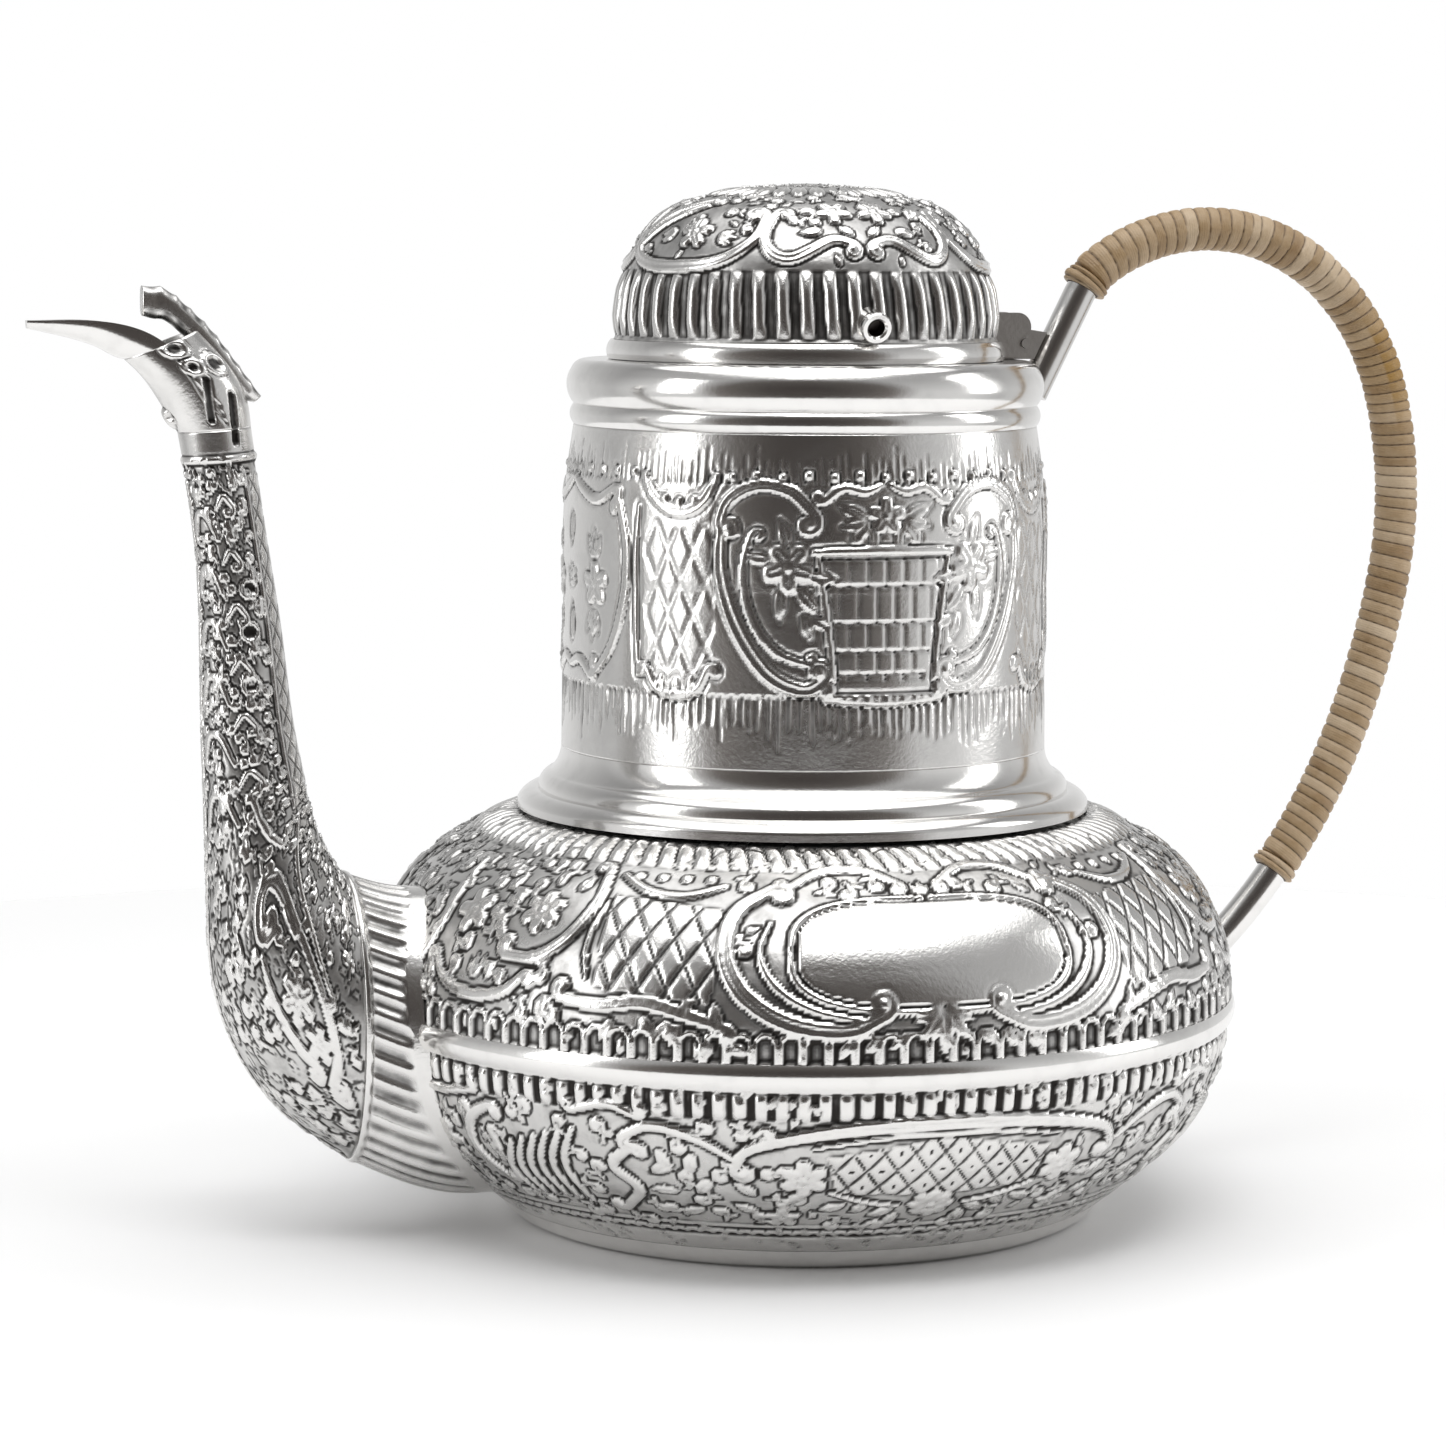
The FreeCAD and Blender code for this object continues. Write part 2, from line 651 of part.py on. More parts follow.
def handle_path(start, end):
    """The wire of the centre line between two distances along it."""
    edges = []
    x, z = HANDLE_START
    heading = math.radians(HANDLE_HEADING)
    done = 0.0
    for radius, turn in [(None, HANDLE_RUN)] + HANDLE_ARCS:
        length = turn if radius is None else radius * math.radians(turn)
        low, high = max(start - done, 0.0), min(end - done, length)

        def at(distance, x=x, z=z, heading=heading, radius=radius):
            if radius is None:
                return Vector(
                    x + distance * math.cos(heading), 0, z + distance * math.sin(heading)
                )
            now = heading - distance / radius
            return Vector(
                x + radius * (math.sin(heading) - math.sin(now)), 0,
                z - radius * (math.cos(heading) - math.cos(now)),
            )

        if high - low > 1e-6:
            if radius is None:
                edges.append(Part.LineSegment(at(low), at(high)).toShape())
            else:
                edges.append(Part.Arc(at(low), at((low + high) / 2), at(high)).toShape())
        done += length
        finish = at(length)
        x, z = finish.x, finish.z
        if radius is not None:
            heading -= math.radians(turn)
    return Part.Wire(edges)


def swept(name, start, end, radius):
    """A round bar along a stretch of the handle's centre line."""
    wire = handle_path(start, end)
    spine = doc.addObject("Part::Feature", f"{name}_line")
    spine.Shape = wire
    first = wire.Edges[0]
    ring = doc.addObject("Part::Circle", f"{name}_ring")
    ring.setExpression("Radius", radius)
    tangent = first.tangentAt(first.FirstParameter)
    ring.Placement = Placement(first.valueAt(first.FirstParameter), Rotation(Vector(0, 0, 1), tangent))
    doc.recompute()
    bar = doc.addObject("Part::Sweep", name)
    bar.Sections = [ring]
    bar.Spine = (spine, [f"Edge{i + 1}" for i in range(len(wire.Edges))])
    bar.Solid = True
    bar.Frenet = False
    bar.Transition = "Right corner"
    doc.recompute()
    return bar


def make_handle(envelope):
    whole = HANDLE_RUN + sum(r * math.radians(t) for r, t in HANDLE_ARCS)
    rod = swept("rod_bar", 0.0, whole, "Sizes.rodRadius")
    collar_round = doc.addObject("Part::Cylinder", "collar_round")
    collar_round.setExpression("Radius", "Sizes.collarRadius + 0.02")
    collar_round.Height = 30
    collar_round.setExpression("Placement.Base.z", "Sizes.collarTop - 25")
    tongue = combine("Cut", "rod_tongue", rod, collar_round)
    combine("Cut", "handle_rod", tongue, envelope, "handle_rod")

    core = swept("core_bar", WRAP_START - 5, WRAP_END + 5, "Sizes.rodRadius")
    wrap = swept("wrap_bar", WRAP_START, WRAP_END, "Sizes.wrapRadius")
    combine("Cut", "rattan_wrap", wrap, core, "rattan_wrap")
    ends = [
        swept("binding_start", WRAP_START - size["bindingLength"], WRAP_START, "Sizes.bindingRadius"),
        swept("binding_end", WRAP_END, WRAP_END + size["bindingLength"], "Sizes.bindingRadius"),
    ]
    both = doc.addObject("Part::Compound", "bindings")
    both.Links = ends
    doc.recompute()
    combine("Cut", "wrap_end_bindings", both, core, "wrap_end_bindings")


# ---------------------------------------------------------------- assembly, checks and export

NODES = [
    "base_pan", "lower_bowl", "shoulder_shell", "equator_band", "neck_step_moulding",
    "neck_drum", "mouth_collar", "lid_rim", "lid_dome", "lid_bezel", "steam_vent",
    "lid_hinge_lugs", "hinge_block", "hinge_pin", "spout_socket", "spout_left_shell",
    "spout_right_shell", "spout_head", "pouring_lip", "spout_crest", "handle_rod", "rattan_wrap",
    "wrap_end_bindings",
]

bowl_body, shoulder_body = make_shells()
body_envelope = make_envelope()
make_passage(bowl_body, shoulder_body)
socket_solid = make_spout(body_envelope)
make_band(socket_solid)
make_lid(make_hinge())
make_handle(body_envelope)
doc.recompute()

for made in doc.Objects:
    if "Invalid" in made.State or "Error" in made.State:
        raise RuntimeError(f"{made.Name} failed: {made.State}")

os.makedirs("parts", exist_ok=True)
for node in NODES:
    found = doc.getObjectsByLabel(node)
    if len(found) != 1:
        raise RuntimeError(f"{node} names {len(found)} objects")
    shape = found[0].Shape
    if shape.isNull() or not shape.isValid() or not shape.Solids:
        raise RuntimeError(f"{node} has no valid solid")
    shape.exportStep(f"parts/{node}.step")
    box = shape.optimalBoundingBox(False)
    print(
        f"{node:20s} {len(shape.Solids)} solid {shape.Volume:9.1f} mm3 "
        f"X {box.XMin:7.1f} {box.XMax:7.1f} Y {box.YMin:6.1f} {box.YMax:6.1f} "
        f"Z {box.ZMin:6.1f} {box.ZMax:6.1f}"
    )
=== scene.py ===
import math

import bpy
import numpy as np
from mathutils import Matrix, Vector


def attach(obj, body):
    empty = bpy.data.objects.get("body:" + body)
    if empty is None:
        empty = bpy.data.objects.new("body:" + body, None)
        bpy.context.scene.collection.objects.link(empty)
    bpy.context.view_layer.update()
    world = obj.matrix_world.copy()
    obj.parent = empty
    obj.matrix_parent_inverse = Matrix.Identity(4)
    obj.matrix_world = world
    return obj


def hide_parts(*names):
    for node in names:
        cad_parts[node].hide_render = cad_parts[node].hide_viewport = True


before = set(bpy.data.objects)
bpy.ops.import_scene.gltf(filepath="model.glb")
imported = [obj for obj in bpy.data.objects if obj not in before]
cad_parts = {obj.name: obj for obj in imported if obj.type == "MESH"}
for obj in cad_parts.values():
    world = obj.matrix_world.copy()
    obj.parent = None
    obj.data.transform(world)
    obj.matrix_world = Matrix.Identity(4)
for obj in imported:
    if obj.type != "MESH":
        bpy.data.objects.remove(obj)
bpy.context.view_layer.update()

# The looks of a chased silver coffee pot. Outlines are in millimetres in the row frame; a turned
# surface is addressed by an angle in degrees, 0 at -Y and 90 at +X, and a height.

MM = 0.001
rng = np.random.default_rng(20)


# ---------------------------------------------------------------- curves and outlines

def arc_through(a, b, c, count):
    """Points on the circle from a over b to c."""
    d = 2 * (a[0] * (b[1] - c[1]) + b[0] * (c[1] - a[1]) + c[0] * (a[1] - b[1]))
    sa, sb, sc = (p[0] ** 2 + p[1] ** 2 for p in (a, b, c))
    ox = (sa * (b[1] - c[1]) + sb * (c[1] - a[1]) + sc * (a[1] - b[1])) / d
    oy = (sa * (c[0] - b[0]) + sb * (a[0] - c[0]) + sc * (b[0] - a[0])) / d
    radius = math.hypot(a[0] - ox, a[1] - oy)
    angles = np.unwrap([math.atan2(p[1] - oy, p[0] - ox) for p in (a, b, c)])
    turn = np.linspace(angles[0], angles[2], count)
    return np.stack([ox + radius * np.cos(turn), oy + radius * np.sin(turn)], 1)


def trace(points, count=48):
    """The fine line of an outline: (r, z) ends a straight run, (rm, zm, r, z) an arc."""
    line = [np.array([points[0]], float)]
    last = points[0]
    for point in points[1:]:
        if len(point) == 4:
            run = arc_through(last, point[:2], point[2:], count)
        else:
            run = np.linspace(last, point, count)
        line.append(run[1:])
        last = point[-2:]
    return np.concatenate(line)


def evenly(line, step=None, count=None):
    """The line resampled at even distances, and those distances."""
    length = np.concatenate([[0], np.cumsum(np.hypot(*np.diff(line, axis=0).T))])
    if count is None:
        count = max(2, int(round(length[-1] / step)) + 1)
    at = np.linspace(0, length[-1], count)
    return np.stack([np.interp(at, length, line[:, k]) for k in range(line.shape[1])], 1), at


def outward(line):
    """Unit normals on the right of a line that runs upwards."""
    d = np.gradient(line, axis=0)
    d /= np.hypot(d[:, 0], d[:, 1])[:, None]
    return np.stack([d[:, 1], -d[:, 0]], 1)


def through(points, fine=14):
    """A smooth line through a few points."""
    p = np.array(points, float)
    if len(p) < 3:
        return np.stack([np.linspace(p[0, k], p[-1, k], fine) for k in range(2)], 1)
    p = np.concatenate([2 * p[:1] - p[1:2], p, 2 * p[-1:] - p[-2:-1]])
    s = np.linspace(0, 1, fine, endpoint=False)[:, None]
    out = []
    for a, b, c, d in zip(p, p[1:], p[2:], p[3:]):
        out.append(0.5 * (2 * b + (c - a) * s + (2 * a - 5 * b + 4 * c - d) * s ** 2
                          + (3 * b - a - 3 * c + d) * s ** 3))
    out.append(p[-2:-1])
    return np.concatenate(out)


# ---------------------------------------------------------------- chased relief

# How square the plain plate's ends are: 2 is an ellipse.
OBLONG = 2.9
# The spacing of tool marks along a stroke, and the height that stands for no stroke at all.
MARK, BARE = 0.38, -9.0
ONE = math.radians(1)


def rounded(v, power):
    """A cosine or sine turned into that of a rounded oblong."""
    return np.sign(v) * np.abs(v) ** power


class Relief:
    """Heights in mm over a surface of angles and distances along its profile."""

    def __init__(self, start, span, columns, along, heights, radius, ground, wraps):
        self.start, self.span, self.wraps = start, span, wraps
        self.turn = span / (columns if wraps else columns - 1)
        self.angle = start + self.turn * np.arange(columns)
        self.along, self.heights, self.radius = along, heights, radius
        self.step = along[1] - along[0]
        self.ground = ground
        self.base = np.full((len(along), columns), float(ground))
        self.raised = np.full_like(self.base, BARE)
        self.cut, self.under = np.zeros_like(self.base), np.zeros_like(self.base)
        self.moat = (0.5, 0.16)
        self.stain = 0.42
        self.mirrors = []

    def at(self, z):
        """The distance along the profile at a height."""
        return np.interp(z, self.heights, self.along)

    def mm(self, t):
        """The radius at a distance along the profile."""
        return np.interp(t, self.along, self.radius)

    def copies(self, angle):
        """The angle and its images in the mirrors."""
        found = [angle]
        for m in self.mirrors:
            found += [2 * m - a for a in list(found)]
        return found

    def stamp(self, angle, t, width, height, cut=False):
        """Round caps, or round cuts, of a half width and a height at each point."""
        angle, t, width, height = np.broadcast_arrays(angle, t, width, height)
        if cut:
            self.press(self.cut, 0.0, angle, t, width, height)
        else:
            self.press(self.raised, self.ground, angle, t, width, height)
            self.press(self.under, 0.0, angle, t, width + self.moat[0], height * 0 + self.moat[1])

    def press(self, target, base, angle, t, width, height):
        """Round caps kept where they stand above what a layer holds."""
        columns = target.shape[1]
        for copy in self.copies(angle):
            for a, v, w, h in zip(copy.ravel(), t.ravel(), width.ravel(), height.ravel()):
                scale = self.mm(v) * math.radians(self.turn)
                row = (v - self.along[0]) / self.step
                column = (a - self.start) / self.turn
                r0, r1 = int(math.ceil(row - w / self.step)), int(row + w / self.step) + 1
                r0, r1 = max(r0, 0), min(r1, len(self.along))
                c0, c1 = int(math.ceil(column - w / scale)), int(column + w / scale) + 1
                if not self.wraps:
                    c0, c1 = max(c0, 0), min(c1, columns)
                if r1 <= r0 or c1 <= c0:
                    continue
                rows, cols = np.arange(r0, r1), np.arange(c0, c1)
                dv = (rows - row)[:, None] * self.step
                du = (cols - column)[None, :] * scale
                cap = np.sqrt(np.clip(1 - (du * du + dv * dv) / (w * w), 0, None))
                value = base + (h - base) * cap
                where = np.ix_(rows, cols % columns)
                target[where] = np.maximum(target[where], value)

    def path(self, points):
        """An even path in (angle, distance) through (angle, height) points."""
        p = np.array(points, float)
        line = through(np.stack([p[:, 0], self.at(p[:, 1])], 1))
        scale = ONE * self.mm(line[:, 1].mean())
        flat, _ = evenly(line * [scale, 1], step=MARK)
        if len(flat) > 20:
            # a hand-held tool leaves no corners
            wide = 5
            before, after = 2 * flat[:1] - flat[wide:0:-1], 2 * flat[-1:] - flat[-2:-2 - wide:-1]
            padded = np.concatenate([before, flat, after])
            kernel = np.hanning(2 * wide + 3)[1:-1]
            kernel /= kernel.sum()
            flat = np.stack([np.convolve(padded[:, k], kernel, "valid") for k in range(2)], 1)
        return flat / [scale, 1]

    def curl(self, path, sign, radius, turns):
        """The path carried on as a tightening spiral."""
        scale = ONE * self.mm(path[-1, 1])
        before = path[-3] if len(path) > 3 else path[0]
        d = (path[-1] - before) * [scale, 1]
        heading = math.atan2(d[1], d[0])
        step, spot, out = MARK, path[-1] * [scale, 1], []
        count = int(turns * 2 * math.pi * radius * 0.62 / step)
        for k in range(count):
            now = radius * (1 - 0.76 * k / max(count, 1))
            heading += sign * step / now
            spot = spot + step * np.array([math.cos(heading), math.sin(heading)])
            out.append(spot / [scale, 1])
        return np.concatenate([path, out]) if out else path

    def line(self, points, width, height, ends=(0.5, 0.5), first=None, last=None, channel=0.0):
        """A raised stroke, with an optional curl (sign, radius, turns) at either end."""
        path = self.path(points)
        if last:
            path = self.curl(path, *last)
        if first:
            path = self.curl(path[::-1], *first)[::-1]
        s = np.linspace(0, 1, len(path))
        taper = 1 - (1 - ends[0]) * (1 - s) ** 3 - (1 - ends[1]) * s ** 3
        self.stamp(path[:, 0], path[:, 1], width * taper, height * (0.55 + 0.45 * taper))
        for end, given, share in ((0, first, ends[0]), (-1, last, ends[1])):
            if given:
                self.stamp(path[end, 0], path[end, 1], width * max(share, 0.5) * 1.35, height * 1.1)
        if channel:
            path, taper = path[2:-2], taper[2:-2]
            self.stamp(path[:, 0], path[:, 1], width * taper * 0.42, channel * taper, cut=True)

    def leaf(self, angle, z, length, width, tilt, height=0.3, bend=0.0):
        """A pointed leaf that starts at a spot and runs at a tilt from the +angle direction."""
        t0 = self.at(z)
        scale = ONE * self.mm(t0)
        s = np.linspace(0, 1, max(4, int(length / MARK)))
        heading = math.radians(tilt) + math.radians(bend) * s
        dx = np.concatenate([[0], np.cumsum(np.cos(heading[1:]))]) * length / len(s)
        dy = np.concatenate([[0], np.cumsum(np.sin(heading[1:]))]) * length / len(s)
        body = np.clip(np.sin(np.pi * s ** 0.75), 0.12, 1)
        a, t = angle + dx / scale, t0 + dy
        self.stamp(a, t, width * body, height * (0.5 + 0.5 * body))
        self.stamp(a[1:-2], t[1:-2], 0.42, 0.3, cut=True)

    def ring(self, angle, t, radius, width, height, count):
        """A small raised ring round a spot."""
        turn = np.linspace(0, 2 * math.pi, count)
        scale = ONE * self.mm(t)
        self.stamp(angle + radius * np.cos(turn) / scale, t + radius * np.sin(turn), width, height)

    def spray(self, angle, z, size, tilt, count=3, spread=38, height=0.3):
        """A fan of leaves from one spot."""
        for k in range(count):
            off = (k - (count - 1) / 2)
            self.leaf(angle, z, size * (1 - 0.14 * abs(off)), size * 0.17, tilt + spread * off, height,
                      bend=-18 * off)

    def flower(self, angle, z, size, petals=5, turn=90.0, height=0.42):
        """Round petals with an engraved vein each, about a boss."""
        t0 = self.at(z)
        scale = ONE * self.mm(t0)
        for k in range(petals):
            way = math.radians(turn + 360 * k / petals)
            r = np.linspace(0.42, 0.72, 4) * size
            self.stamp(angle + r * math.cos(way) / scale, t0 + r * math.sin(way), size * 0.34, height)
            r = np.linspace(0.3, 0.75, 5) * size
            self.stamp(angle + r * math.cos(way) / scale, t0 + r * math.sin(way), 0.4, 0.22, cut=True)
        self.stamp(angle, t0, size * 0.25, height * 1.2)

    def region(self, corners):
        """Which places lie inside a polygon of (angle, height) corners, and its copies."""
        inside = np.zeros(self.base.shape, bool)
        a_grid, t_grid = np.meshgrid(self.angle, self.along)
        base = np.array([(a, self.at(z)) for a, z in corners])
        for copy in self.copies(base[:, 0]):
            for shift in ((-180, 0, 180) if self.wraps else (0,)):
                hit = np.zeros(self.base.shape, bool)
                for k in range(len(base)):
                    x0, y0 = copy[k] + shift, base[k, 1]
                    x1, y1 = copy[k - 1] + shift, base[k - 1, 1]
                    crosses = (y0 > t_grid) != (y1 > t_grid)
                    if y1 == y0:
                        continue
                    hit ^= crosses & (a_grid < (x1 - x0) * (t_grid - y0) / (y1 - y0) + x0)
                inside |= hit
        return inside

    def oval(self, angle, z, half_angle, half_height, grow=0.0):
        """Places inside an oval, each axis grown by so many millimetres."""
        a_grid, t_grid = np.meshgrid(self.angle, self.along)
        t0 = self.at(z)
        low, high = self.at(z - half_height), self.at(z + half_height)
        half = (high - low) / 2 + grow
        wide = half_angle + math.degrees(grow / self.mm(t0))
        across, up = np.abs(a_grid - angle) / wide, np.abs(t_grid - (low + high) / 2) / half
        return across ** OBLONG + up ** OBLONG < 1

    def lattice(self, inside, centre, wide, tall, level=0.0, depth=0.3, half=0.42, dots=0.0, double=0.0):
        """Crossing engraved lines in a region, in diamonds of a width and a height."""
        a_grid, t_grid = np.meshgrid(self.angle, self.along)
        u = np.radians(np.abs(a_grid) - centre) * self.mm(self.along)[:, None]
        found = np.full(self.base.shape, level)
        length = math.hypot(wide, tall)
        away = []
        for sign in (1, -1):
            phase = u / wide + sign * t_grid / tall
            away.append(np.abs(phase - np.round(phase)))
            off = away[-1] * wide * tall / length
            found = np.minimum(found, level - depth * np.exp(-((off - double) / half) ** 2))
        if dots:
            found = np.where(np.minimum(*away) > 0.5 - dots, level - depth * 0.8, found)
        self.base[inside] = found[inside]

    def flutes(self, low, high, count, height, blunt=1.0, lean=0.0, duty=0.92, notch=0.0):
        """Upright rounded flutes in a belt, count of them in the whole span."""
        a_grid, t_grid = np.meshgrid(self.angle, self.along)
        t0, t1 = self.at(low), self.at(high)
        belt = (t_grid >= t0) & (t_grid <= t1)
        share = (t_grid - t0) / (t1 - t0)
        phase = (a_grid - self.start) / self.span * count + lean * share
        off = np.abs(phase - np.round(phase)) * 2
        across = np.sqrt(np.clip(1 - (off / duty) ** 2, 0, 1))
        pitch = math.radians(self.span / count) * self.mm((t0 + t1) / 2)
        edge = np.minimum(t_grid - t0, t1 - t_grid)
        ends = np.sqrt(np.clip(edge / (blunt * pitch) + 0.04, 0, 1))
        value = self.ground * (1 + notch) + (height - self.ground * (1 + notch)) * across * ends
        self.base[belt] = value[belt]

    def fringe(self, low, high, count, width, depth, from_top=True):
        """Tapered upright tool cuts of uneven length, hanging from or standing on a line."""
        t0, t1 = self.at(low), self.at(high)
        for k in range(count):
            angle = self.start + (k + rng.uniform(0.25, 0.75)) * self.span / count
            reach = (t1 - t0) * rng.uniform(0.45, 1.0)
            s = np.linspace(0, 1, max(4, int(reach / 0.4)))
            t = t1 - s * reach if from_top else t0 + s * reach
            self.stamp(np.full(len(s), angle), t, width * (1 - 0.7 * s), depth * (1 - 0.5 * s), cut=True)

    def arcade(self, low, high, count, width, height):
        """A row of small round arches standing on a line."""
        pitch = self.span / count
        t0, t1 = self.at(low), self.at(high)
        for k in range(count):
            middle = self.start + (k + 0.5) * pitch
            half = pitch * 0.42
            radius = math.radians(half) * self.mm(t0)
            turn = np.linspace(0, math.pi, 9)
            a = middle + half * np.cos(turn)
            t = t1 - radius + radius * np.sin(turn)
            for foot in (-1, 1):
                rise = np.arange(t0, t1 - radius, 0.5)
                self.stamp(np.full_like(rise, middle + foot * half), rise, width, height)
            self.stamp(a, t, width, height)

    def belt(self, low, high, height):
        """A band of ground at one level."""
        rows = (self.along >= self.at(low)) & (self.along <= self.at(high))
        self.base[rows] = height

    def free(self, angle, t, reach):
        """Whether the ground is still bare around a spot."""
        rows, columns = self.base.shape
        row = int(np.searchsorted(self.along, t))
        span = max(1, int(reach / self.step))
        if row < span or row >= rows - span:
            return False
        column = int(np.argmin(np.abs(self.angle - angle)))
        wide = max(1, int(reach / (self.radius[row] * math.radians(self.turn))))
        cells = np.arange(column - wide, column + wide + 1) % columns
        block = slice(row - span, row + span + 1)
        return (self.raised[block][:, cells].max() <= BARE
                and np.abs(self.base[block][:, cells] - self.ground).max() < 0.01)

    def tendrils(self, count, size, width, height, low=0.0, high=400.0, sides=(-400.0, 400.0), reach=0.3):
        """Small curls, each with a pair of leaves, wherever the ground is bare."""
        rows, columns = self.base.shape
        for _ in range(count):
            row, column = int(rng.integers(0, rows)), int(rng.integers(0, columns))
            heading, sign = rng.uniform(0, 2 * math.pi), 1 if rng.random() < 0.5 else -1
            t, angle, big = self.along[row], self.angle[column], size * rng.uniform(0.8, 1.15)
            if not (low < self.heights[row] < high and sides[0] < angle < sides[1]):
                continue
            if not self.free(angle, t, big * reach):
                continue
            scale = ONE * self.mm(t)
            run = np.linspace(-0.75, -0.1, 7)[:, None] * big
            path = np.array([angle, t]) + run * [math.cos(heading) / scale, math.sin(heading)]
            path = self.curl(path, sign, big * 0.34, 1.3)
            taper = np.linspace(0.55, 1.0, len(path))
            self.stamp(path[:, 0], path[:, 1], width * taper, height)
            self.stamp(path[-1, 0], path[-1, 1], width * 1.35, height * 1.1)
            z = np.interp(path[3, 1], self.along, self.heights)
            for turn in (-70 * sign, 20 * sign):
                self.leaf(path[3, 0], z, big * 0.62, big * 0.15, math.degrees(heading) + turn,
                          height * 0.85, bend=20 * sign)

    def thicket(self, count, size, height):
        """Small leaves strewn over the bare ground."""
        rows, columns = self.base.shape
        span = int(size * 0.5 / self.step)
        for _ in range(count):
            row, column = int(rng.integers(span, rows - span)), int(rng.integers(0, columns))
            tilt, turn = rng.uniform(20, 160), rng.uniform(-40, 40)
            if not self.free(self.angle[column], self.along[row], size * 0.5):
                continue
            way = math.radians(tilt)
            scale = ONE * self.radius[row]
            angle = self.angle[column] - size * 0.5 * math.cos(way) / scale
            z = np.interp(self.along[row] - size * 0.5 * math.sin(way), self.along, self.heights)
            self.leaf(angle, z, size, size * 0.21, tilt, height, bend=turn)

    def result(self, fade=0.9, free_end=False):
        """The finished heights, level with their neighbours at both ends, and how dark each place is: oxide
        on the low ground and in the hollows, and painted shade in deep cuts, slots and holes.
        """
        h = np.maximum(self.base - self.under, self.raised) - self.cut
        soft = h.copy()
        for _ in range(3):
            soft = blur(soft, self.wraps)
        # the stain term darkens the low ground as oxide; the concavity term darkens hollows as oxide and
        # paints shade into deep cuts, slots and holes
        recess = np.clip(self.stain * (0.1 - h) / 0.5 + 3.3 * np.clip(soft - h - 0.01, 0, None), 0, 1)
        far = self.along[-1] - self.along + (fade if free_end else 0)
        edge = np.minimum(self.along - self.along[0], far)
        keep = np.clip(edge / fade, 0, 1) ** 0.7
        return h * keep[:, None], recess


def blur(h, wraps):
    """One pass of a small weighted mean in both directions."""
    up = np.concatenate([h[:1], h[:-1]])
    down = np.concatenate([h[1:], h[-1:]])
    h = (up + 2 * h + down) / 4
    if wraps:
        left, right = np.roll(h, 1, 1), np.roll(h, -1, 1)
    else:
        left = np.concatenate([h[:, :1], h[:, :-1]], 1)
        right = np.concatenate([h[:, 1:], h[:, -1:]], 1)
    return (left + 2 * h + right) / 4


# ---------------------------------------------------------------- meshes

def grid_faces(rows, columns, closed, first=0, flip=False):
    r = np.arange(rows - 1)[:, None]
    c = np.arange(columns if closed else columns - 1)[None, :]
    nxt = (c + 1) % columns
    a, b = r * columns + c, r * columns + nxt
    quads = np.stack([a, b, b + columns, a + columns], -1).reshape(-1, 4) + first
    return quads[:, ::-1] if flip else quads


def strip_faces(one, two, closed, flip=False):
    """Quads between two lines of vertex numbers."""
    a, b = np.asarray(one), np.asarray(two)
    if closed:
        a, b = np.append(a, a[0]), np.append(b, b[0])
    quads = np.stack([a[:-1], a[1:], b[1:], b[:-1]], 1)
    return quads[:, ::-1] if flip else quads


def make_object(name, verts, quads, material, attributes=None, caps=(), sharp=None):
    """A mesh object in metres from vertices in mm, quads and odd polygons."""
    mesh = bpy.data.meshes.new(name)
    loops = [np.asarray(quads).reshape(-1)] + [np.asarray(c) for c in caps]
    sizes = np.concatenate([np.full(len(quads), 4), [len(c) for c in caps]]).astype(np.int32)
    flat = np.concatenate(loops).astype(np.int32)
    mesh.vertices.add(len(verts))
    mesh.vertices.foreach_set("co", (np.asarray(verts, float) * MM).astype(np.float32).reshape(-1))
    mesh.loops.add(len(flat))
    mesh.loops.foreach_set("vertex_index", flat)
    mesh.polygons.add(len(sizes))
    starts = np.concatenate([[0], np.cumsum(sizes)[:-1]]).astype(np.int32)
    mesh.polygons.foreach_set("loop_start", starts)
    mesh.polygons.foreach_set("loop_total", sizes)
    mesh.update(calc_edges=True)
    mesh.validate()
    mesh.polygons.foreach_set("use_smooth", np.ones(len(mesh.polygons), bool))
    if sharp:
        mesh.set_sharp_from_angle(angle=math.radians(sharp))
    for key, values in (attributes or {}).items():
        layer = mesh.attributes.new(key, "FLOAT", "POINT")
        layer.data.foreach_set("value", np.asarray(values, np.float32).reshape(-1))
    mesh.materials.append(material)
    made = bpy.data.objects.new(name, mesh)
    bpy.context.scene.collection.objects.link(made)
    return made


def turned_points(r, z, angle):
    a = np.radians(angle)[None, :]
    x, y = r * np.sin(a), -r * np.cos(a)
    return np.stack([x, y, np.broadcast_to(z, x.shape)], -1)


def sheet(name, outer, inner, material, layers, flip=False, closed=True, pole=False, kept=()):
    """A closed sheet from an outer grid and a coarser inner one; layers hold values out and in."""
    columns, fewer = outer.shape[1], len(inner)
    start = len(outer) * columns
    verts = np.concatenate([outer.reshape(-1, 3), inner.reshape(-1, 3)])
    low = np.arange(columns)
    high, high_in = start - columns + low, len(verts) - columns + low
    quads = [grid_faces(len(outer), columns, closed, 0, flip),
             grid_faces(fewer, columns, closed, start, not flip),
             strip_faces(low, start + low, closed, not flip)]
    caps = []
    if pole:
        caps = [high, high_in[::-1]]
    else:
        quads.append(strip_faces(high, high_in, closed, flip))
    if not closed:
        # the two straight sides, one polygon for each step of the inner grid
        for column in (0, columns - 1):
            for k in range(fewer - 1):
                run = list(np.arange(kept[k], kept[k + 1] + 1) * columns + column)
                ring = run + [start + (k + 1) * columns + column, start + k * columns + column]
                caps.append(ring[::-1] if (column == 0) != flip else ring)
    attributes = {}
    for key, (outside, within) in layers.items():
        attributes[key] = np.concatenate([outside.reshape(-1), np.full(fewer * columns, within)])
    return make_object(name, verts, np.concatenate(quads), material, attributes, caps)


